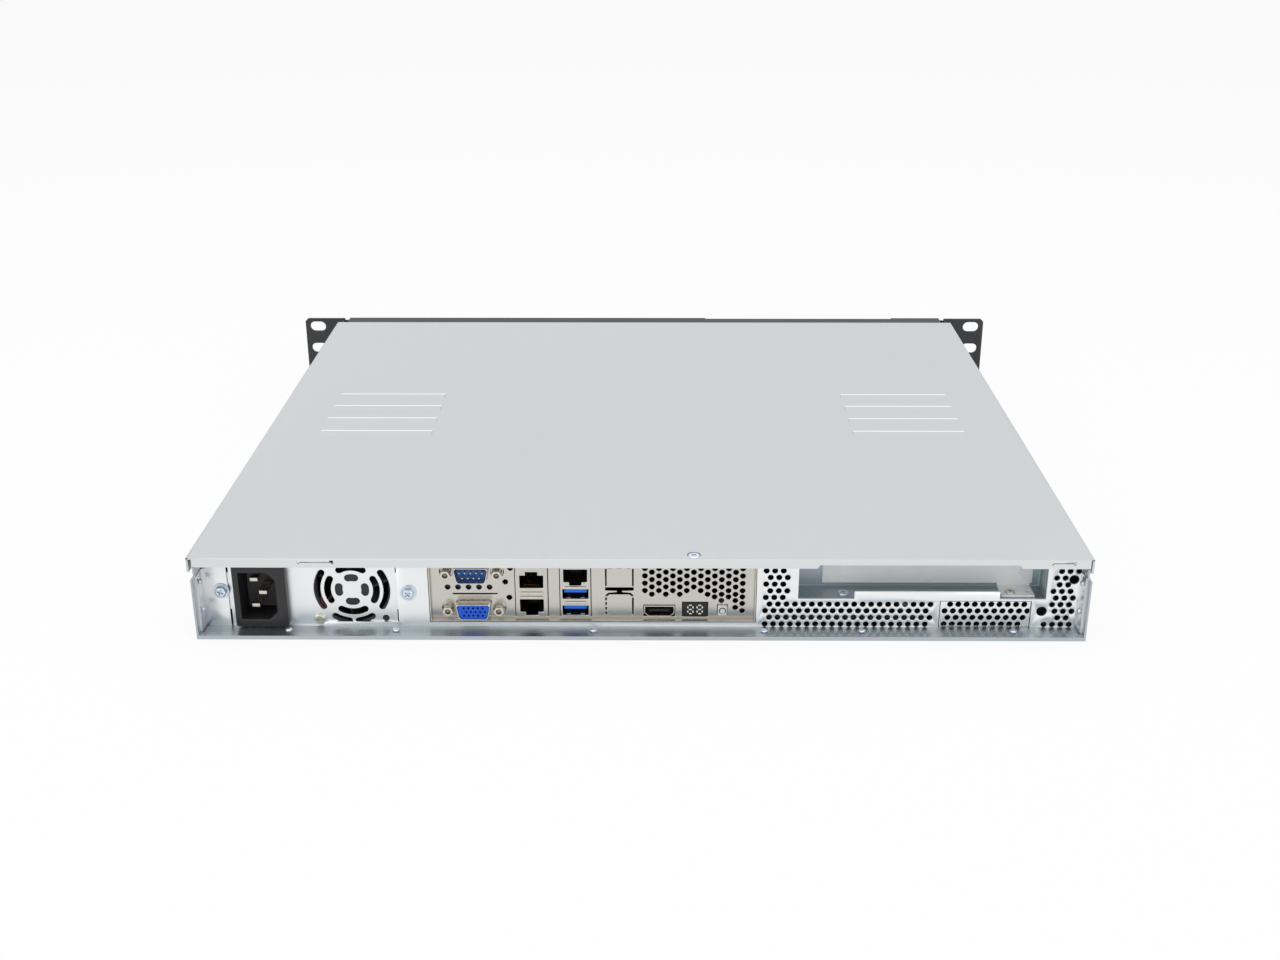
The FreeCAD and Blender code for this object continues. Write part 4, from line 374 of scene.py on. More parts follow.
def moulded(name, colour, roughness, texture=0.4):
    """Moulded plastic with a fine sparked texture."""
    finish = Finish(name, Base_Color=colour)
    grain = finish.noise(2200, detail=2.0)
    slow = finish.noise(80)
    lighter = [min(1, channel * 1.25 + 0.002) for channel in colour[:3]] + [1]
    finish.set("Base Color", finish.mix(slow, colour, lighter))
    finish.set("Roughness", (grain - 0.5) * 0.2 + roughness)
    finish.bump(grain, 0.03 * MM, texture)
    return finish.material


def laminate(name, colour):
    """A circuit board: traces as stepped cells, pads as small bright dots."""
    finish = Finish(name, Roughness=0.35, Base_Color=colour)
    traces = finish.cells(420, (1, 0.25, 1)) > 0.55
    pads = finish.noise(900) > 0.68
    lighter = [channel * 1.8 for channel in colour[:3]] + [1]
    board = finish.mix(traces * 0.8, colour, lighter)
    finish.set("Base Color", finish.mix(pads * 0.7, board, rgb(190, 180, 140)))
    finish.bump(traces, 0.03 * MM, 0.5)
    return finish.material


ZINC = plated("blue_zinc", rgb(222, 232, 244), 0.3)
NICKEL = plated("nickel", rgb(222, 217, 206), 0.16)
GOLD = plated("gold_contacts", rgb(222, 178, 92), 0.22)
ALUMINIUM = plated("aluminium", rgb(200, 201, 203), 0.3)
BLACK = moulded("black_plastic", rgb(28, 28, 30), 0.42)
DARK = moulded("dark_plastic", rgb(14, 14, 15), 0.5)
GREY = moulded("grey_plastic", rgb(120, 122, 126), 0.4)
WHITE = moulded("white_plastic", rgb(222, 222, 216), 0.35)
BLUE = moulded("connector_blue", rgb(0, 80, 200), 0.38)
PALE_BLUE = moulded("serial_blue", rgb(24, 84, 158), 0.38)
TONGUE_BLUE = moulded("tongue_blue", rgb(0, 112, 232), 0.34)
LABEL = moulded("hub_label", rgb(20, 20, 22), 0.6)
CLEAR = moulded("clear_plastic", rgb(216, 218, 216), 0.16, 0.1)
RED_WIRE = moulded("red_insulation", rgb(112, 36, 26), 0.5)
BOARD = laminate("circuit_board", rgb(12, 34, 24))
print("finishes:", len(bpy.data.materials))

# %% [markdown]
# The camera stands behind the machine and a little above it, on its middle plane, with a moderately
# long lens. It is aimed by two angles, down and aside.

# %% Camera
LENS = 44.13
LOOK_DOWN = 0.391
LOOK_ASIDE = 0.007
camera_data = bpy.data.cameras.new("camera")
camera_data.lens = LENS
camera_data.sensor_width = 36
camera = bpy.data.objects.new("camera", camera_data)
bpy.context.scene.collection.objects.link(camera)
aim = Vector((
    math.sin(LOOK_ASIDE) * math.cos(LOOK_DOWN),
    -math.cos(LOOK_ASIDE) * math.cos(LOOK_DOWN),
    -math.sin(LOOK_DOWN),
))
ROLL = Matrix.Rotation(-0.001, 4, "Z")
STAND = Vector((-4.58, 877.2, 362.9)) * MM
camera.matrix_world = Matrix.Translation(STAND) @ aim.to_track_quat("-Z", "Y").to_matrix().to_4x4() @ ROLL
bpy.context.scene.camera = camera
bpy.context.scene.view_settings.view_transform = "Standard"

# %% [markdown]
# The studio is a white room: a pale floor and large soft lamps. Bright metal has little colour of its
# own, so what it reflects matters as much as what lights it. Camera, glossy and transmission rays see
# the white room as white, and all other light stays at a plain level, so that colours render as written.

# %% Floor, room and lamps
def white_to_eye(tree, plain, white, share):
    """Show a share of pure white to camera and mirror rays, and the plain shader to the rest."""
    def calculate(operation, first, second, clamp=False):
        node = tree.nodes.new("ShaderNodeMath")
        node.operation = operation
        node.use_clamp = clamp
        tree.links.new(first, node.inputs[0])
        if isinstance(second, float):
            node.inputs[1].default_value = second
        else:
            tree.links.new(second, node.inputs[1])
        return node.outputs[0]

    rays = tree.nodes.new("ShaderNodeLightPath").outputs
    seen = calculate("ADD", rays["Is Camera Ray"], rays["Is Glossy Ray"], True)
    both = calculate("ADD", seen, rays["Is Transmission Ray"], True)
    mix = tree.nodes.new("ShaderNodeMixShader")
    tree.links.new(calculate("MULTIPLY", both, share), mix.inputs["Fac"])
    tree.links.new(plain, mix.inputs[1])
    tree.links.new(white, mix.inputs[2])
    return mix.outputs[0]


floor_bm = bmesh.new()
bmesh.ops.create_grid(floor_bm, x_segments=1, y_segments=1, size=6)
floor_mesh = bpy.data.meshes.new("floor")
floor_bm.to_mesh(floor_mesh)
floor_bm.free()
floor = bpy.data.objects.new("floor", floor_mesh)
bpy.context.scene.collection.objects.link(floor)
floor_look = bpy.data.materials.new("floor_paint")
floor_look.use_nodes = True
floor_tree = floor_look.node_tree
floor_tree.nodes.clear()
paint = floor_tree.nodes.new("ShaderNodeBsdfDiffuse")
paint.inputs["Color"].default_value = (0.86, 0.86, 0.86, 1)
glow = floor_tree.nodes.new("ShaderNodeEmission")
glow.inputs["Strength"].default_value = 1.0
surface = floor_tree.nodes.new("ShaderNodeOutputMaterial")
floor_tree.links.new(
    white_to_eye(floor_tree, paint.outputs[0], glow.outputs[0], 0.88), surface.inputs["Surface"]
)
floor_mesh.materials.append(floor_look)

world = bpy.data.worlds.new("room")
bpy.context.scene.world = world
world.use_nodes = True
room = world.node_tree
room.nodes.clear()
plain_room = room.nodes.new("ShaderNodeBackground")
plain_room.inputs["Color"].default_value = (1, 1, 1, 1)
plain_room.inputs["Strength"].default_value = 0.55
white_room = room.nodes.new("ShaderNodeBackground")
white_room.inputs["Color"].default_value = (1, 1, 1, 1)
white_room.inputs["Strength"].default_value = 1.0
room_output = room.nodes.new("ShaderNodeOutputWorld")
room_light = white_to_eye(room, plain_room.outputs[0], white_room.outputs[0], 1.0)
room.links.new(room_light, room_output.inputs["Surface"])


def softbox(name, place, target, size, watts):
    """A large square lamp aimed at a point."""
    data = bpy.data.lights.new(name, "AREA")
    data.shape = "RECTANGLE"
    data.size, data.size_y = size
    data.energy = watts
    lamp = bpy.data.objects.new(name, data)
    bpy.context.scene.collection.objects.link(lamp)
    heading = Vector(target) - Vector(place)
    lamp.matrix_world = Matrix.Translation(place) @ heading.to_track_quat("-Z", "Y").to_matrix().to_4x4()


softbox("overhead", (0, 0.3, 2.0), (0, 0, 0), (2.4, 1.8), 26)
softbox("left_box", (1.8, 1.6, 0.9), (0, 0.1, 0), (1.2, 1.0), 9)
softbox("right_box", (-1.8, 1.6, 0.9), (0, 0.1, 0), (1.2, 1.0), 6)

# %% [markdown]
# Most of the machine's inside keeps its nodes as they are and only takes a finish. One table pairs each
# node with its finish, and the pieces made further down then take over where more detail shows.

# %% Finishes of the nodes
NODE_FINISH = {
    CASE_STEEL: "expansion_bracket slot_cover psu_case optical_bracket drive_tray fan_bracket "
                "rear_wall vent_plate",
    # The chassis tray takes the darker copy of the steel, painted shade.
    SHADED_TRAY_STEEL: "chassis_tray",
    COVER_STEEL: "top_cover",
    BLACK_COAT: "front_panel ear_left ear_right",
    SHIELD_STEEL: "io_shield lan_ports usb_lan_stack hdmi_port front_usb_ports optical_drive",
    ZINC: "cover_screw rear_screws chassis_rivets board_screws",
    NICKEL: "board_standoffs jackscrews inlet_pins cpu_socket coin_cell",
    BLUE: "serial_port vga_port",
    BLACK: "ac_inlet psu_fan_frame psu_fan_rotor disc_tray eject_button memory_slots expansion_slot "
           "fan_frame_left fan_frame_middle fan_frame_right fan_rotor_left fan_rotor_middle fan_rotor_right",
    GREY: "spindle_hub power_button reset_button board_parts",
    WHITE: "memory_latch_a memory_latch_b id_button front_lights",
    BOARD: "mainboard riser_card front_board memory_modules",
    ALUMINIUM: "cpu_heatsink chipset_heatsink hard_drive",
    DARK: "code_display",
}
for finish, names in NODE_FINISH.items():
    for name in names.split():
        NODES[name].data.materials.clear()
        NODES[name].data.materials.append(finish)
print("finished nodes:", sum(len(names.split()) for names in NODE_FINISH.values()))

# %% [markdown]
# The cover is one sheet folded at both sides and at the rear. It could be a thick block hollowed out, but
# a folded sheet is easier to make as it is in the shop: flat faces that share their fold lines. The fold
# lines are beveled into the bend radius, and a Solidify modifier gives the sheet its thickness inwards.

# %% Cover
cover_low, cover_high = box_mm("top_cover")
LOUVRE_RISE = 0.6
LID = cover_high.z - LOUVRE_RISE
REAR = cover_high.y
HALF = cover_high.x
LIP_END = HALF - 1.5
LIP_LOW = LID - 4.8
FLANGE_LOW = LID - 7.3
NOTCH_LEFT, NOTCH_RIGHT, NOTCH_RISE = -84.5, -182.0, 1.8
SCREW_X, SCREW_Y = -25.6, REAR - 5
SCREW_HOLE = 3.3
LIP_SLOTS = ((146.6, 163.8), (-207.3, -195.7))
SLOT_LOW, SLOT_STEP, SLOT_HIGH = LID - 2.9, LID - 2.2, LID - 1.1

lid = bmesh.new()
top_outline = [
    (-HALF, cover_low.y), (HALF, cover_low.y), (HALF, REAR), (LIP_END, REAR), (-LIP_END, REAR), (-HALF, REAR),
]
top_edges = loop(lid, "XY", LID, top_outline) + circle(lid, "XY", LID, (SCREW_X, SCREW_Y), SCREW_HOLE, 32)
bmesh.ops.triangle_fill(lid, use_beauty=True, use_dissolve=False, edges=top_edges)
lip_outline = [
    (-LIP_END, LID), (-LIP_END, LIP_LOW), (NOTCH_RIGHT, LIP_LOW), (NOTCH_RIGHT + 1.2, LIP_LOW + NOTCH_RISE),
    (NOTCH_LEFT - 1.2, LIP_LOW + NOTCH_RISE), (NOTCH_LEFT, LIP_LOW), (LIP_END, LIP_LOW), (LIP_END, LID),
]
lip_edges = loop(lid, "XZ", REAR, lip_outline)
for start, end in LIP_SLOTS:
    slot_points = [
        (start, SLOT_LOW), (start + 0.9, SLOT_LOW), (start + 0.9, SLOT_STEP), (end - 0.9, SLOT_STEP),
        (end - 0.9, SLOT_LOW), (end, SLOT_LOW), (end, SLOT_HIGH), (start, SLOT_HIGH),
    ]
    lip_edges += loop(lid, "XZ", REAR, slot_points)
bmesh.ops.triangle_fill(lid, use_beauty=True, use_dissolve=False, edges=lip_edges)
for side in (-HALF, HALF):
    flange = loop(lid, "YZ", side, rect((cover_low.y, REAR), (FLANGE_LOW, LID)))
    bmesh.ops.edgeloop_fill(lid, edges=flange)
bmesh.ops.remove_doubles(lid, verts=lid.verts, dist=0.01)
# The rear lip takes the lighter copy of the cover steel, a painted highlight.
for face in lid.faces:
    face.material_index = 1 if face.normal.y > 0.9 or face.normal.y < -0.9 else 0
soften(lid, 0.9, 60, 3)
cover = piece("cover_sheet", lid, [COVER_STEEL, LIP_HIGHLIGHT_STEEL], "cover", ["top_cover"])
# The sheet is open below, so its normals are turned outward by its largest face before it thickens inward.
if max(cover.data.polygons, key=lambda face: face.area).normal.z < 0:
    cover.data.flip_normals()
thickness = cover.modifiers.new("thickness", "SOLIDIFY")
thickness.thickness = 1.0 * MM
thickness.offset = -1
print("cover faces:", len(cover.data.polygons))

# %% [markdown]
# Four louvres on each side let warm air out. A louvre is lanced along its front edge and pressed up into a
# shallow wedge that runs back into the lid. A block with one edge pushed down is such a wedge. The outer
# front corner is rounded, and a narrow band along the front edge is drawn near-white: a painted highlight
# on the rounded rim.

# %% Louvres
LOUVRE_ROWS = [REAR - 162.9 - 21.3 * index for index in range(4)]
LOUVRE_INNER, LOUVRE_LONG, LOUVRE_DEEP = 121.2, 64.5, 9.6
# The width of the painted highlight band on each louvre's front edge, and also the corner's radius.
EDGE_BAND = 1.5


def louvre(bm, inner, outer, rear):
    """One louvre between its inner and outer end, running back to the given y."""
    x = sorted((inner, outer))
    front = rear - LOUVRE_DEEP
    verts = block(bm, (x[0], front, LID - 0.6), (x[1], rear, LID + LOUVRE_RISE))
    crest = bmesh.ops.bisect_plane(
        bm, geom=verts + edges_of(verts) + list({face for vert in verts for face in vert.link_faces}),
        plane_co=(0, front + EDGE_BAND, 0), plane_no=(0, 1, 0),
    )
    cut = {item for item in crest["geom_cut"] if isinstance(item, bmesh.types.BMVert)}
    verts = list(set(verts) | cut)
    back = [vert for vert in verts if vert.co.y > rear - 0.01 and vert.co.z > LID]
    bmesh.ops.translate(bm, verts=back, vec=(0, 0, -LOUVRE_RISE - 0.05))
    corner = [
        edge for edge in edges_of(verts)
        if all(abs(vert.co.x - outer) < 0.01 and vert.co.y < front + 0.01 for vert in edge.verts)
    ]
    bmesh.ops.bevel(
        bm, geom=corner, offset=EDGE_BAND * 0.95, offset_type="OFFSET", affect="EDGES", segments=5,
        profile=0.5, material=-1,
    )
    bm.normal_update()
    # The top faces of the front band take the near-white finish, a painted highlight on the rim.
    for face in bm.faces:
        middle = face.calc_center_median()
        if x[0] < middle.x < x[1] and front < middle.y < front + EDGE_BAND and face.normal.z > 0.9:
            face.material_index = 1


louvres = bmesh.new()
for rear_end in LOUVRE_ROWS:
    for side in (1, -1):
        louvre(louvres, LOUVRE_INNER * side, (LOUVRE_INNER + LOUVRE_LONG) * side, rear_end)
piece("cover_louvres", louvres, [COVER_STEEL, LOUVRE_HIGHLIGHT], "cover")
print("louvres:", 2 * len(LOUVRE_ROWS))

# %% [markdown]
# Screws come in three heads: countersunk in the cover, pan head on the supply, and hexagon with a washer
# on the supply's ears. The cross recess could be cut out by a boolean. It is quicker and cleaner to make
# the head as a plate with a cross-shaped hole that stands on a solid disc.

# %% Cross-recessed screws
def round_points(u, v, radius, segments=24):
    """Points round a circle, for an outline."""
    turns = [math.tau * step / segments for step in range(segments)]
    return [(u + radius * math.cos(turn), v + radius * math.sin(turn)) for turn in turns]


def cross_points(u, v, long, wide, turn=0.0):
    """The twelve corners of a cross recess, turned by an angle in degrees."""
    corners = []
    for quarter in range(4):
        angle = math.radians(turn + 90 * quarter)
        for along, beside in ((long, -wide), (long, wide), (wide, wide)):
            corners.append((
                u + along * math.cos(angle) - beside * math.sin(angle),
                v + along * math.sin(angle) + beside * math.cos(angle),
            ))
    return corners


def cross_head(bm, plane, level, place, radius, height, turn=0.0, step=1, sides=24):
    """A screw head whose outer face is level + height, with a cross recess."""
    middle = level + height * 0.35 * step
    top = level + height * step
    sheet(bm, plane, sorted((level, middle)), round_points(*place, radius, sides))
    before = set(bm.verts)
    cross = cross_points(*place, radius * 0.52, radius * 0.12, turn)
    sheet(bm, plane, sorted((middle, top)), round_points(*place, radius, sides), [cross])
    made = [vert for vert in bm.verts if vert not in before]
    out = PLANES[plane][2]
    rim = [
        edge for edge in edges_of(made)
        if all(abs(vert.co.dot(out) - top) < 0.01 for vert in edge.verts)
        and all(distance_in(plane, vert.co, place) > radius * 0.95 for vert in edge.verts)
    ]
    bmesh.ops.bevel(
        bm, geom=rim, offset=min(height * 0.5, radius * 0.3), offset_type="OFFSET", affect="EDGES", segments=3,
        profile=0.5, material=-1,
    )


def distance_in(plane, point, place):
    """How far a point is from a place, measured in a plane."""
    across, up, out = PLANES[plane]
    return math.hypot(point.dot(across) - place[0], point.dot(up) - place[1])


cover_screw = bmesh.new()
cross_head(cover_screw, "XY", LID - 1.0, (SCREW_X, SCREW_Y), 2.9, 0.95, 45)
piece("cover_screw_head", cover_screw, ZINC, "cover", ["cover_screw"])

rear_screws = bmesh.new()
WALL = REAR - 12
for x, z, turn in ((205.0, 20.6, 20), (113.6, 19.7, 50)):
    bar(rear_screws, "Y", (x, WALL, z), 4.0, 0.8, 32)
    cross_head(rear_screws, "XZ", WALL + 0.8, (x, z), 3.05, 2.1, turn, 1, 6)
cross_head(rear_screws, "XY", 16.7, (-99.7, WALL - 6), 2.8, 0.9, 30)
soften(rear_screws, 0.15, 50, 1)
piece("hex_washer_screws", rear_screws, ZINC, instead_of=["rear_screws"])
pan_screws = bmesh.new()
cross_head(pan_screws, "XZ", WALL - 1, (158, 5.0), 2.9, 1.5, 10)
cross_head(pan_screws, "XY", 17.6, (-181.5, WALL - 6), 2.5, 0.9, 10)
piece("pan_screws", pan_screws, NICKEL)
print("screws made")

# %% [markdown]
# The rear wall is a stamped panel with flanges. Its round vents sit in staggered rows, so each field is a
# first place, a number of columns and the row that it is on, and all rows share one pitch.

# %% Rear wall
VENT_RADIUS, VENT_PITCH = 1.5, 4.145
VENT_LOW, VENT_STEP = 2.9, 3.62
wall_high = box_mm("rear_wall")[1]
WALL_TOP = wall_high.z
INNER = wall_high.x
STEP_SIDE = INNER - 1.6
FLANGE_TOP = 1.4
# The openings: the power supply's, over a low step, and the expansion pocket's, with a raised shelf.
SUPPLY_RIGHT, SUPPLY_LEFT, STEP_X, STEP_TOP = 119, 201.9, 156.4, 3.6
POCKET_RIGHT, POCKET_LEFT, POCKET_LOW = -198, -77, 16.7
SHELF_RIGHT, SHELF_LEFT, SHELF_TOP = -175.5, -104.5, 20.4


def row(level):
    """Height of a vent row."""
    return VENT_LOW + VENT_STEP * level


def field(first, count, levels, pitch=VENT_PITCH):
    """Round vents along a row, repeated on some levels."""
    return [(first + pitch * index, row(level), VENT_RADIUS) for level in levels for index in range(count)]


wall_outline = [
    (-INNER, 1), (INNER, 1), (INNER, 32), (STEP_SIDE, 34), (STEP_SIDE, WALL_TOP),
    (SUPPLY_LEFT, WALL_TOP), (SUPPLY_LEFT, 1.4), (STEP_X, 1.4), (STEP_X, STEP_TOP),
    (SUPPLY_RIGHT, STEP_TOP), (SUPPLY_RIGHT, WALL_TOP), (POCKET_LEFT, WALL_TOP), (POCKET_LEFT, POCKET_LOW),
    (SHELF_LEFT, POCKET_LOW), (SHELF_LEFT, SHELF_TOP), (SHELF_RIGHT, SHELF_TOP), (SHELF_RIGHT, POCKET_LOW),
    (POCKET_RIGHT, POCKET_LOW), (POCKET_RIGHT, WALL_TOP), (-STEP_SIDE, WALL_TOP), (-STEP_SIDE, 34),
    (-INNER, 32),
]
vents = field(-139.8, 20, (0, 2)) + field(-141.9, 20, (1, 3))
vents += field(-69.5, 3, (4, 6, 8)) + field(-71.6, 3, (5, 7))
vents += field(-210.6, 4, (0,)) + field(-208.7, 2, (1,)) + field(-211.1, 3, (2, 4)) + field(-209.6, 3, (3, 5))
vents += field(-208.1, 2, (6,)) + field(-206.5, 2, (7,)) + field(-212.7, 3, (8,))
vents += [(-196.5, row(2), 2.6), (-210.8, 27.4, 2.5)]
rear_wall = bmesh.new()
port_opening, plate_opening = rect((-56.7, 103.8), (3.6, 41)), rect((-191.3, -146.4), (1.2, 15.7))
sheet(rear_wall, "XZ", (WALL - 1, WALL), wall_outline, [port_opening, plate_opening], vents)
soften(rear_wall, 0.14, 60, 1)
for side in (-1, 1):
    x = sorted((INNER * side, (INNER - 1) * side))
    block(rear_wall, (x[0], WALL - 0.2, 2), (x[1], WALL + 8, 32))
block(rear_wall, (SCREW_X - 7, WALL - 0.2, WALL_TOP - 1), (SCREW_X + 7, REAR - 1.3, WALL_TOP))
# The folded edge of the raised part, in front of the shelf.
bar(rear_wall, "X", (-175.3, WALL - 0.6, 20.3), 0.55, 70.6, 12)
piece(
    "rear_wall_panel", rear_wall, CASE_STEEL, instead_of=["rear_wall"],
    smooth_angle=50,
)

# The floor in front of the wall lies in the shade of the cover's lip, and its darker steel is painted shade.
floor_flange = bmesh.new()
block(floor_flange, (-INNER + 1, WALL, 1), (INNER - 1, WALL + 8, FLANGE_TOP))
piece("floor_flange", floor_flange, SHADED_STEEL)

vent_plate = bmesh.new()
PLATE_ROWS = ((-185.4, 4.03, 10), (-187.6, 4.1, 10), (-189.6, 4.05, 11), (-187.8, 4.03, 10))
plate_vents = []
for level, (first, pitch, count) in enumerate(PLATE_ROWS):
    plate_vents += field(first, count, (level,), pitch)
sheet(vent_plate, "XZ", (WALL - 1, WALL - 0.2), rect((-190.9, -146.8), (1.5, 15.35)), [], plate_vents)
soften(vent_plate, 0.14, 60, 1)
piece("vent_plate_panel", vent_plate, CASE_STEEL, instead_of=["vent_plate"])
print("vents:", len(vents) + len(plate_vents))

# %% [markdown]
# The rivets are set heads: a dome on a thin collar. A cone gives the collar, and its top edge is beveled
# until it is round.

# %% Rivets
rivets = bmesh.new()


def dome(bm, axis, start, radius, height):
    """A set rivet head."""
    verts = bar(bm, axis, start, radius, height, 20, radius * 0.82)
    soften(bm, height * 0.45, 50, 3, verts)


for x in (172.4, 119.8, 23.0, -60.6, -108.3, -182.1):
    dome(rivets, "Z", (x, REAR - 6.4, FLANGE_TOP), 1.9, 1.6)
for z in (13, 28):
    dome(rivets, "X", (-INNER + 1, REAR - 7, z), 1.5, 1.6)
    dome(rivets, "X", (INNER - 2.6, REAR - 7, z), 1.5, 1.6)
piece("rivet_heads", rivets, ZINC, instead_of=["chassis_rivets"], smooth_angle=60)

# %% [markdown]
# The port shield is thin bright sheet, pressed back from the wall inside a shallow rim. Every port has its
# own opening, and two blanks are still held by small bridges. The vents stand in columns that are
# staggered by half a row.

# %% Port shield
shield_low, shield_high = box_mm("io_shield")
SHIELD = WALL - 3
SHIELD_BACK = SHIELD - 0.5
COLUMN, COLUMN_STEP, COLUMN_LOW = 3.42, 4.0, 9.5
SHIELD_VENT = 1.4
SERIAL_X, VIDEO_X = 82.6, 82.0
SERIAL_RISE, VIDEO_RISE = 29.6, 10.0
JACK_REACH, JACK_HOLE = 12.5, 3.3
SHELLS = ((SERIAL_X, SERIAL_RISE), (VIDEO_X, VIDEO_RISE))
JACKS = [(x + side * JACK_REACH, z) for x, z in SHELLS for side in (1, -1)]


def d_outline(x, z, grow=0.0, wide=8.5, tall=4.2, slope=1.2, lower=True):
    """The D-shaped outline of a connector with rounded corners, narrow below or above."""
    narrow = wide - slope
    low, high = (narrow, wide) if lower else (wide, narrow)
    cut = 0.9
    return [
        (x - low - grow + cut, z - tall - grow), (x + low + grow - cut, z - tall - grow),
        (x + low + grow, z - tall - grow + cut), (x + high + grow, z + tall + grow - cut),
        (x + high + grow - cut, z + tall + grow), (x - high - grow + cut, z + tall + grow),
        (x - high - grow, z + tall + grow - cut), (x - low - grow, z - tall - grow + cut),
    ]


port_holes = [
    d_outline(SERIAL_X, SERIAL_RISE, 0.3), d_outline(VIDEO_X, VIDEO_RISE, 0.3),
    rect((45.3, 61.7), (5.3, 33.5)), rect((24.2, 39.8), (5.3, 33.5)),
    rect((-17.0, -1.4), (5.3, 11.8)), rect((-33.2, -20.4), (5.2, 13.4)),
    rect((-42.75, -37.65), (6.0, 12.2)), rect((70.2, 92.4), (17.2, 18.0)),
]
BLANK_LEFT, BLANK_RIGHT = 17.4, 3.4
# The black gap between the two blanks, with the spring tongues that reach into it.
BLANK_MIDDLE = (BLANK_LEFT + BLANK_RIGHT) / 2
half_gap = [(1.2, 19.4), (1.2, 18.6), (5.5, 18.2), (7.0, 16.6), (6.1, 16.4), (4.8, 17.4)]
gap = [(BLANK_LEFT, 21.2), (BLANK_LEFT, 19.4)]
gap += [(BLANK_MIDDLE + u, v) for u, v in half_gap]
gap += [(BLANK_MIDDLE - u, v) for u, v in reversed(half_gap)]
gap += [(BLANK_RIGHT, 19.4), (BLANK_RIGHT, 21.2)]
port_holes.append(gap)
SLIT = 0.8
for z in ((21.8, 31.2), (6.2, 15.6)):
    port_holes.append(rect((BLANK_RIGHT, BLANK_RIGHT + SLIT), z))
port_holes.append(rect((BLANK_LEFT - SLIT, BLANK_LEFT), (21.8, 31.2)))
for z in (6.2, 8.8, 11.4, 14.0):
    port_holes.append(rect((BLANK_LEFT - SLIT, BLANK_LEFT), (z, z + 1.7)))
for x in (BLANK_RIGHT + 1.2, BLANK_RIGHT + 5.8, BLANK_RIGHT + 10.4):
    port_holes.append(rect((x, x + 2.6), (31.5, 32.3)))
shield_vents = [(74.1 + 5.15 * index, 21.2, SHIELD_VENT) for index in range(5)]
shield_vents += [(x, z, SHIELD_VENT) for x, z in ((63.7, 31.6), (66.3, 24.1), (64.5, 15.6))]
for column in range(15):
    offset, count = (2.5, 4) if column % 2 == 0 else (3.0, 3)
    x = -2.1 - COLUMN * column
    levels = [offset + step for step in range(count)]
    if column % 2:
        levels += [2.0] if column in (1, 3, 5, 9, 11, 13) else []
        levels += [1.15] if column in (11, 13) else []
        levels += [0.2] if column == 13 else []
    else:
        levels += [1.65] if column in (10, 12, 14) else []
        levels += [-0.25, 0.75] if column == 14 else []
    shield_vents += [(x, COLUMN_LOW + COLUMN_STEP * level, SHIELD_VENT) for level in levels]
shield = bmesh.new()
inside_x = (shield_low.x + 0.5, shield_high.x - 0.5)
inside_z = (shield_low.z + 0.5, shield_high.z - 0.5)
for x, z in JACKS:
    shield_vents.append((x, z, JACK_HOLE))
sheet(shield, "XZ", (SHIELD_BACK, SHIELD), rect(inside_x, inside_z), port_holes, shield_vents)
rim_outer = rect((shield_low.x, shield_high.x), (shield_low.z, shield_high.z))
sheet(shield, "XZ", (SHIELD_BACK, WALL), rim_outer, [rect(inside_x, inside_z)])
soften(shield, 0.12, 60, 1)
piece("port_shield", shield, SHIELD_STEEL, instead_of=["io_shield"])
print("shield openings:", len(port_holes), "vents:", len(shield_vents))

# %% [markdown]
# The two D-shell connectors share their shape: a nickel flange and shell, and a moulded insert. The
# upper one has nine pins in a recess, and the lower one fifteen sockets, so only the insert differs.

# %% D-shell connectors
D_FACE = SHIELD_BACK - 0.2
D_REACH, D_RISE, D_TIP = 15.4, 5.2, 6.2


def d_port(name, node, x, z, legs_low, legs_high):
    """Flange, shell and housing of a D-shell connector; returns the shell's front."""
    metal = bmesh.new()
    flange = rect((x - D_REACH, x + D_REACH), (z - D_RISE, z + D_RISE))
    sheet(metal, "XZ", (D_FACE - 1, D_FACE), flange, [d_outline(x, z, -0.5)])
    sheet(metal, "XZ", (D_FACE, D_FACE + D_TIP), d_outline(x, z), [d_outline(x, z, -0.45)])
    soften(metal, 0.18, 50, 2)
    piece(name + "_shell", metal, NICKEL, instead_of=[node])
    housing = bmesh.new()
    block(housing, (x - D_REACH, D_FACE - 12, legs_low), (x + D_REACH, D_FACE - 1, legs_high))
    soften(housing, 0.3, 60, 2)
    piece(name + "_housing", housing, BLACK)
    return D_FACE + D_TIP


d_port("serial_port", "serial_port", SERIAL_X, SERIAL_RISE, 23.0, 36.2)
serial_insert = bmesh.new()
sheet(serial_insert, "XZ", (D_FACE - 1, D_FACE + 2.2), d_outline(SERIAL_X, SERIAL_RISE, -0.5))
soften(serial_insert, 0.15, 60, 1)
piece("serial_insert", serial_insert, PALE_BLUE)
serial_pins = bmesh.new()
for count, level in ((5, SERIAL_RISE + 1.4), (4, SERIAL_RISE - 1.4)):
    for index in range(count):
        x = SERIAL_X + 2.77 * (index - (count - 1) / 2)
        bar(serial_pins, "Y", (x, D_FACE + 2, level), 0.55, 3.6, 12, 0.4)
soften(serial_pins, 0.12, 60, 1)
piece("serial_pins", serial_pins, NICKEL)
legs = bmesh.new()
block(legs, (67.6, D_FACE - 17, 6.4), (97.6, D_FACE - 12, 36.2))
piece("serial_legs", legs, BLACK)

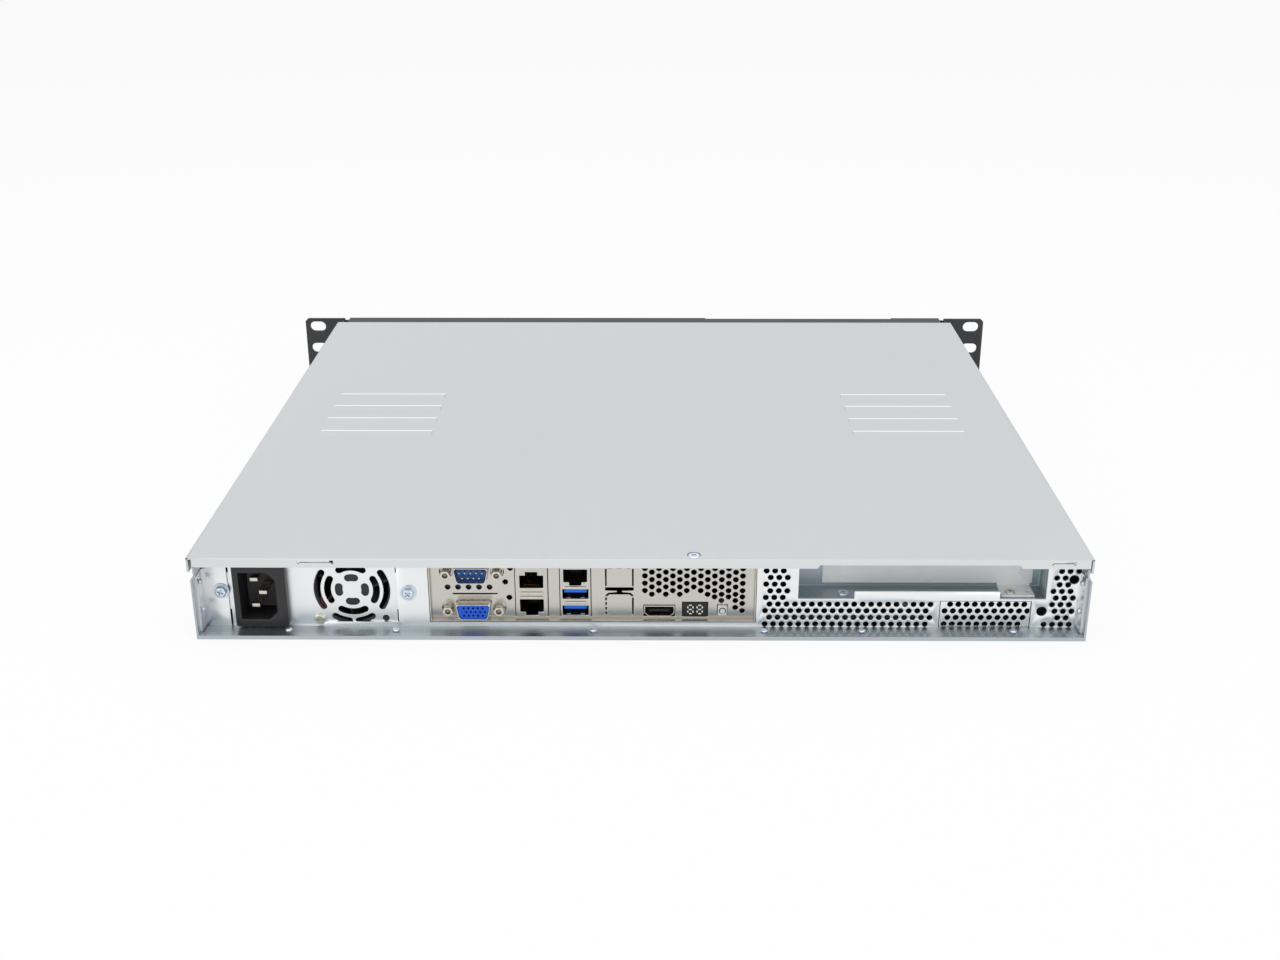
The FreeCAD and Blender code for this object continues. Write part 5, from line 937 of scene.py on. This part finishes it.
video_tip = d_port("video_port", "vga_port", VIDEO_X, VIDEO_RISE, 5.6, 22.8)
video_insert = bmesh.new()
sockets = []
for lift, shift in ((2.0, 0.0), (0.0, -1.1), (-2.0, 0.0)):
    sockets += [(VIDEO_X + shift + 2.29 * (index - 2), VIDEO_RISE + lift, 0.58) for index in range(5)]
insert_outline = d_outline(VIDEO_X, VIDEO_RISE, -0.55)
sheet(video_insert, "XZ", (D_FACE + 0.5, video_tip - 0.5), insert_outline, [], sockets, 12)
soften(video_insert, 0.08, 60, 1)
piece("video_insert", video_insert, BLUE)
backing = bmesh.new()
sheet(backing, "XZ", (D_FACE - 1, D_FACE + 0.5), d_outline(VIDEO_X, VIDEO_RISE, -0.6))
piece("video_backing", backing, DARK)

posts = bmesh.new()
for x, z in JACKS:
    hexagon = round_points(x, z, 2.77, 6)
    sheet(posts, "XZ", (SHIELD_BACK - 0.2, SHIELD_BACK + 5.6), hexagon, [round_points(x, z, 1.35, 16)])
    bar(posts, "Y", (x, SHIELD_BACK - 0.2, z), 1.5, 1.0, 16)
soften(posts, 0.3, 50, 2)
piece("jack_posts", posts, NICKEL, instead_of=["jackscrews"])

# %% [markdown]
# A network socket is a keyed mouth in a metal can, with a black lining and eight gold wires that lean into
# the mouth. The metal can is stamped with a small spring in its face, and the USB sockets below share it.

# %% Network and serial bus sockets
CAN = SHIELD + 0.7
CAN_LOW, CAN_TOP = 5.6, 33.2
NETWORK_X, STACK_X = 53.5, 32.0
NETWORK_LOW, NETWORK_HIGH, NETWORK_THIRD = 6.1, 21.0, 22.4
BUS_LEVELS = (6.3, 15.2)


def rj_outline(x, low, notch_up):
    """The keyed mouth of a network socket."""
    reach, notch, tall, step = 5.85, 3.0, 6.8, 1.9
    levels = (low, low + tall, low + tall + step) if notch_up else (low + tall + step, low + step, low)
    points = [(x - reach, levels[0]), (x + reach, levels[0]), (x + reach, levels[1]), (x + notch, levels[1])]
    points += [(x + notch, levels[2]), (x - notch, levels[2]), (x - notch, levels[1]), (x - reach, levels[1])]
    return points if notch_up else points[::-1]


def can(name, node, x, wide, mouths):
    """A metal can with its mouths, and the black block behind them."""
    shell = bmesh.new()
    low_x, high_x = x - wide / 2, x + wide / 2
    outline = rect((low_x, high_x), (CAN_LOW, CAN_TOP))
    sheet(shell, "XZ", (CAN - 0.5, CAN), outline, mouths)
    inside = rect((low_x + 0.4, high_x - 0.4), (CAN_LOW + 0.4, CAN_TOP - 0.4))
    sheet(shell, "XZ", (CAN - 22, CAN - 0.5), outline, [inside])
    soften(shell, 0.12, 60, 1)
    piece(name + "_can", shell, SHIELD_STEEL, instead_of=[node])
    inner = bmesh.new()
    block(inner, (low_x + 0.5, CAN - 21.5, CAN_LOW + 0.5), (high_x - 0.5, CAN - 13, 32.7))
    sheet(inner, "XZ", (CAN - 13, CAN - 0.6), rect((low_x + 0.5, high_x - 0.5), (CAN_LOW + 0.5, 32.7)), mouths)
    piece(name + "_block", inner, DARK)


def contacts(bm, x, low, notch_up):
    """Eight spring wires that slant across the side away from the notch."""
    base = low + 0.4 if notch_up else low + 8.3
    lift = 2.2 if notch_up else -2.2
    for index in range(8):
        wire_x = x + 1.02 * (index - 3.5)
        verts = block(bm, (wire_x - 0.22, CAN - 11.5, base - 0.15), (wire_x + 0.22, CAN - 3.0, base + 0.15))
        rear_end = [vert for vert in verts if vert.co.y < CAN - 7]
        bmesh.ops.translate(bm, verts=rear_end, vec=(0, 0, lift))


twin_mouths = [rj_outline(NETWORK_X, NETWORK_LOW, False), rj_outline(NETWORK_X, NETWORK_HIGH, True)]
can("twin_network", "lan_ports", NETWORK_X, 15.8, twin_mouths)
usb_mouths = [rect((25.6, 38.4), (low, low + 5.2)) for low in BUS_LEVELS]
can("bus_stack", "usb_lan_stack", STACK_X, 15.0, usb_mouths + [rj_outline(STACK_X, NETWORK_THIRD, False)])
gold = bmesh.new()
contacts(gold, NETWORK_X, NETWORK_LOW, False)
contacts(gold, NETWORK_X, NETWORK_HIGH, True)
contacts(gold, STACK_X, NETWORK_THIRD, False)
piece("network_contacts", gold, GOLD)
tongues = bmesh.new()
for low in BUS_LEVELS:
    block(tongues, (26.4, CAN - 13, low + 2.9), (37.6, CAN - 1.2, low + 4.6))
soften(tongues, 0.2, 60, 2)
piece("bus_tongues", tongues, TONGUE_BLUE)
springs = bmesh.new()
for low in BUS_LEVELS:
    for x in (28.6, 35.4):
        block(springs, (x - 1.1, CAN - 6, low - 0.05), (x + 1.1, CAN - 0.8, low + 0.35))
soften(springs, 0.12, 60, 1)
piece("bus_springs", springs, NICKEL)

# Curved spring tabs of the metal cans stand a little proud between the mouths.
tabs = bmesh.new()
for x, reach, level in (
    (NETWORK_X, 5.6, 18.3), (NETWORK_X, 5.6, 15.9), (STACK_X, 5.2, 21.3), (STACK_X, 5.2, 13.2),
):
    verts = block(tabs, (x - reach, CAN - 0.1, level - 0.75), (x + reach, CAN + 0.55, level + 0.75))
    soften(tabs, 0.5, 60, 3, verts)
piece("can_springs", tabs, NICKEL)

# %% [markdown]
# The small video socket is a folded shell round a black tongue. Beside it a two-digit display shows the
# start-up code: a dark block whose seven-segment digits are pale bars set flush in its window.

# %% Video socket, code display and locator key
hdmi = bmesh.new()
low, high = 5.6, 11.5
mouth = [(-14.6, low), (-3.8, low), (-1.7, low + 1.9), (-1.7, high), (-16.7, high), (-16.7, low + 1.9)]
inner_mouth = [
    (-14.4, low + 0.5), (-4.0, low + 0.5), (-2.2, low + 2.1), (-2.2, high - 0.5), (-16.2, high - 0.5),
    (-16.2, low + 2.1),
]
sheet(hdmi, "XZ", (CAN - 12, CAN), mouth, [inner_mouth])
soften(hdmi, 0.15, 50, 2)
piece("video_socket_shell", hdmi, NICKEL, instead_of=["hdmi_port"])
hdmi_inside = bmesh.new()
block(hdmi_inside, (-14.4, CAN - 11.5, low + 2.3), (-4.0, CAN - 1, low + 3.7))
block(hdmi_inside, (-16.0, CAN - 11.5, low + 0.6), (-2.4, CAN - 9, high - 0.6))
soften(hdmi_inside, 0.15, 60, 1)
piece("video_socket_tongue", hdmi_inside, DARK)

display_low, display_high = box_mm("code_display")
DISPLAY_FACE = display_high.y
display = bmesh.new()
block(display, display_low, display_high - Vector((0, 0.05, 0)))
soften(display, 0.2, 60, 2)
piece("display_block", display, DARK, instead_of=["code_display"])


def segment_bars(x, z, wide, tall, thick):
    """The seven bars of one digit, each an elongated hexagon."""
    def hexagon(ends):
        half = thick / 2
        return [
            (-ends, 0), (half - ends, -half), (ends - half, -half), (ends, 0), (ends - half, half),
            (half - ends, half),
        ]

    flat, upright = hexagon(wide - thick * 0.6), hexagon(tall / 2 - thick * 0.6)
    bars = [[(x + u, level + v) for u, v in flat] for level in (z - tall, z, z + tall)]
    bars += [
        [(x + side * wide - v, level + u) for u, v in upright]
        for side in (-1, 1) for level in (z - tall / 2, z + tall / 2)
    ]
    return bars


digits = bmesh.new()
display_x = (display_low.x + display_high.x) / 2
display_z = (display_low.z + display_high.z) / 2 + 0.1
for x in (display_x - 2.3, display_x + 2.3):
    for outline in segment_bars(x, display_z, 1.25, 2.3, 0.72):
        sheet(digits, "XZ", (DISPLAY_FACE - 0.2, DISPLAY_FACE), outline)
piece("display_segments", digits, WHITE)

key_low, key_high = box_mm("id_button")
KEY_X, KEY_RISE = -40.25, (key_low.z + key_high.z) / 2
key = bmesh.new()
block(key, key_low, key_high - Vector((0, 0.6, 0)))
soften(key, 0.5, 60, 3)
bar(key, "Y", (KEY_X, key_high.y - 0.8, KEY_RISE), 1.3, 0.75, 24)
piece("locator_cap", key, CLEAR, "locator_key", ["id_button"])
key_ring = bmesh.new()
outer_ring, inner_ring = (round_points(KEY_X, KEY_RISE, radius) for radius in (1.75, 1.35))
sheet(key_ring, "XZ", (key_high.y - 0.7, key_high.y - 0.5), outer_ring, [inner_ring])
piece("locator_ring", key_ring, DARK, "locator_key")

# %% [markdown]
# The power supply is a folded case. Its rear face is a ring grille: arc-shaped slots with round ends,
# punched over the fan. Each slot is an arc out, a half turn, an arc back and a half turn, so one formula
# gives every outline from two radii and two angles.

# %% Power supply case
psu_low = box_mm("psu_case")[0]
PSU_X, PSU_Z = 141.3, 20.7
PSU_RIGHT, PSU_LEFT, PSU_TOP = 119.7, 201.2, 41.5
EAR_RIGHT, EAR_LEFT, EAR_LOW, EAR_HIGH = 111.7, 209.2, 10, 30
PSU_FACE = (WALL - 1.8, WALL - 1.0)


def arc_slot(u, v, inner, outer, start, end):
    """The outline of a curved slot with round ends, between two radii and two angles in degrees."""
    middle, half = (inner + outer) / 2, (outer - inner) / 2
    trim = math.degrees(half / middle)
    first, last = start + trim, end - trim
    steps = max(4, round((last - first) / 8))
    turns = [math.radians(first + (last - first) * step / steps) for step in range(steps + 1)]
    points = [(u + outer * math.cos(turn), v + outer * math.sin(turn)) for turn in turns]
    points += end_cap(u, v, middle, half, last, 1)
    points += [(u + inner * math.cos(turn), v + inner * math.sin(turn)) for turn in reversed(turns)]
    return points + end_cap(u, v, middle, half, first, -1)


def end_cap(u, v, middle, half, angle, way):
    """The half turn at one end of a curved slot."""
    turn = math.radians(angle)
    centre = (u + middle * math.cos(turn), v + middle * math.sin(turn))
    out = turn if way > 0 else turn + math.pi
    swings = [out + math.pi * step / 6 for step in range(1, 6)]
    return [(centre[0] + half * math.cos(swing), centre[1] + half * math.sin(swing)) for swing in swings]


grille = []
for middle in (0, 90, 180, 270):
    grille.append(arc_slot(PSU_X, PSU_Z, 4.6, 8.4, middle - 31, middle + 31))
    grille.append(arc_slot(PSU_X, PSU_Z, 10.3, 13.7, middle - 37, middle + 37))
for start, end in ((-38, 38), (55, 125), (142, 218), (232, 268), (272, 308)):
    grille.append(arc_slot(PSU_X, PSU_Z, 15.4, 18.8, start, end))
psu = bmesh.new()
ears = [
    (PSU_RIGHT, 1), (PSU_LEFT, 1), (PSU_LEFT, EAR_LOW), (EAR_LEFT, EAR_LOW), (EAR_LEFT, EAR_HIGH),
    (PSU_LEFT, EAR_HIGH), (PSU_LEFT, PSU_TOP), (PSU_RIGHT, PSU_TOP), (PSU_RIGHT, EAR_HIGH),
    (EAR_RIGHT, EAR_HIGH), (EAR_RIGHT, EAR_LOW), (PSU_RIGHT, EAR_LOW),
]
inlet_hole = rect((174.9, 196.5), (5.6, 34.0))
sheet(psu, "XZ", PSU_FACE, ears, grille + [inlet_hole], [(125.5, 5.2, 1.75)])
case_outline, case_inside = rect((PSU_RIGHT, PSU_LEFT), (1, PSU_TOP)), rect((120.5, 200.4), (1.8, 40.7))
sheet(psu, "XZ", (psu_low.y, PSU_FACE[0]), case_outline, [case_inside])
front_slots = [rect((127.7 + 6 * index, 130.2 + 6 * index), (8, 34.5)) for index in range(11)]
sheet(psu, "XZ", (psu_low.y, psu_low.y + 0.8), rect((120.3, 200.6), (1.6, 40.9)), front_slots)
soften(psu, 0.15, 60, 1)
piece("supply_case", psu, CASE_STEEL, instead_of=["psu_case"])
eased("ac_inlet", "mains_inlet", BLACK, width=0.5, segments=3)
eased("inlet_pins", "mains_pins", NICKEL, width=0.3, segments=3)
print("grille slots:", len(grille))

# %% [markdown]
# Fans are seen through grilles, so their blades matter less than their depth. The rotors keep their nodes'
# form with eased edges, and the hub behind the rings gets a plain foil disc with small pale marks.

# %% Fans
for label, body in (("left", "rotor_left"), ("middle", "rotor_middle"), ("right", "rotor_right")):
    eased(f"fan_rotor_{label}", f"impeller_{label}", BLACK, body, 0.35, 2)
    eased(f"fan_frame_{label}", f"fan_housing_{label}", BLACK, "chassis", 0.4, 2)
eased("psu_fan_rotor", "supply_impeller", BLACK, "psu_rotor", 0.35, 2)
eased("psu_fan_frame", "supply_fan_housing", BLACK, "chassis", 0.4, 2)
foil = bmesh.new()
sheet(foil, "XZ", (WALL - 1.95, WALL - 1.88), round_points(PSU_X, PSU_Z, 8.2, 32))
piece("fan_hub_label", foil, LABEL)
marks = bmesh.new()
for turn in range(0, 360, 24):
    angle = math.radians(turn + 6)
    for reach, wide in ((5.6, 0.5), (7.0, 0.35)):
        u, v = PSU_X + reach * math.cos(angle), PSU_Z + reach * math.sin(angle)
        sheet(marks, "XZ", (WALL - 1.88, WALL - 1.84), round_points(u, v, wide, 8))
piece("fan_hub_marks", marks, WHITE)

# %% [markdown]
# Behind the grille a few wires cross the fan's edge. Each is a short curve with a round section.

# %% Wires behind the grille
def wire(name, points, radius, finish):
    """A short insulated wire along a smooth curve, turned into a mesh."""
    data = bpy.data.curves.new(name, "CURVE")
    data.dimensions = "3D"
    data.bevel_depth = radius * MM
    data.bevel_resolution = 3
    spline = data.splines.new("NURBS")
    spline.points.add(len(points) - 1)
    for point, spot in zip(spline.points, points):
        point.co = (*(Vector(spot) * MM), 1)
    spline.order_u = 3
    spline.use_endpoint_u = True
    curve = bpy.data.objects.new(name + "_path", data)
    bpy.context.scene.collection.objects.link(curve)
    mesh = bpy.data.meshes.new_from_object(curve.evaluated_get(bpy.context.evaluated_depsgraph_get()))
    bpy.data.objects.remove(curve)
    bm = bmesh.new()
    bm.from_mesh(mesh)
    bmesh.ops.scale(bm, vec=(1 / MM, 1 / MM, 1 / MM), verts=bm.verts)
    return piece(name, bm, finish, smooth_angle=60)


BEHIND = WALL - 3.2
red_path = [(154, BEHIND, 9.5), (156, BEHIND + 0.5, 12), (157.5, BEHIND, 14.5), (157, BEHIND - 1, 16.5)]
black_path = [(154.5, BEHIND, 9), (157, BEHIND, 12), (159.5, BEHIND, 18), (159, BEHIND - 1, 24)]
wire("fan_wire_red", red_path, 0.4, RED_WIRE)
wire("fan_wire_black", black_path, 0.6, DARK)
print("wires made")

# %% [markdown]
# The remaining parts keep their nodes' form and only get eased edges, which catch the light. The wider
# the part, the wider its edge.

# %% Remaining steel and plastic parts
for node, name, finish, width in (
    ("ear_left", "rack_ear_left", BLACK_COAT, 0.4),
    ("ear_right", "rack_ear_right", BLACK_COAT, 0.4),
    ("front_panel", "front_face", BLACK_COAT, 0.3),
    # The tray takes the darker copy of the steel, painted shade.
    ("chassis_tray", "tray_sheet", SHADED_TRAY_STEEL, 0.2),
    # The expansion shelf takes the darker copy of the steel, painted shade.
    ("expansion_bracket", "expansion_shelf", SHADED_STEEL, 0.3),
    # The slot blank takes the near-white copy of the steel, painted light.
    ("slot_cover", "slot_blank", LIT_SLOT_STEEL, 0.25),
    ("optical_bracket", "drive_table", CASE_STEEL, 0.3),
    ("drive_tray", "drive_cradle", CASE_STEEL, 0.3),
    ("fan_bracket", "fan_plate", CASE_STEEL, 0.3),
    ("hard_drive", "disk_case", ALUMINIUM, 0.5),
    ("optical_drive", "disc_drive_case", SHIELD_STEEL, 0.3),
    ("cpu_heatsink", "processor_heatsink", ALUMINIUM, 0.12),
    ("chipset_heatsink", "bridge_heatsink", ALUMINIUM, 0.15),
    ("memory_slots", "memory_sockets", BLACK, 0.2),
    ("memory_modules", "memory_cards", BOARD, 0.1),
    ("coin_cell", "clock_cell", NICKEL, 0.4),
    ("expansion_slot", "riser_socket", BLACK, 0.2),
    ("front_usb_ports", "front_bus_sockets", SHIELD_STEEL, 0.15),
):
    eased(node, name, finish, width=width)
eased("disc_tray", "disc_carrier", BLACK, "disc_drawer", 0.3)
eased("eject_button", "eject_cap", BLACK, "eject_key", 0.25)
eased("spindle_hub", "disc_hub", GREY, "disc_spindle", 0.4)
eased("power_button", "power_cap", GREY, "power_key", 0.5, 3)
eased("reset_button", "reset_cap", GREY, "reset_key", 0.3, 3)
eased("memory_latch_a", "latch_lever_a", WHITE, "latch_a", 0.3)
eased("memory_latch_b", "latch_lever_b", WHITE, "latch_b", 0.3)
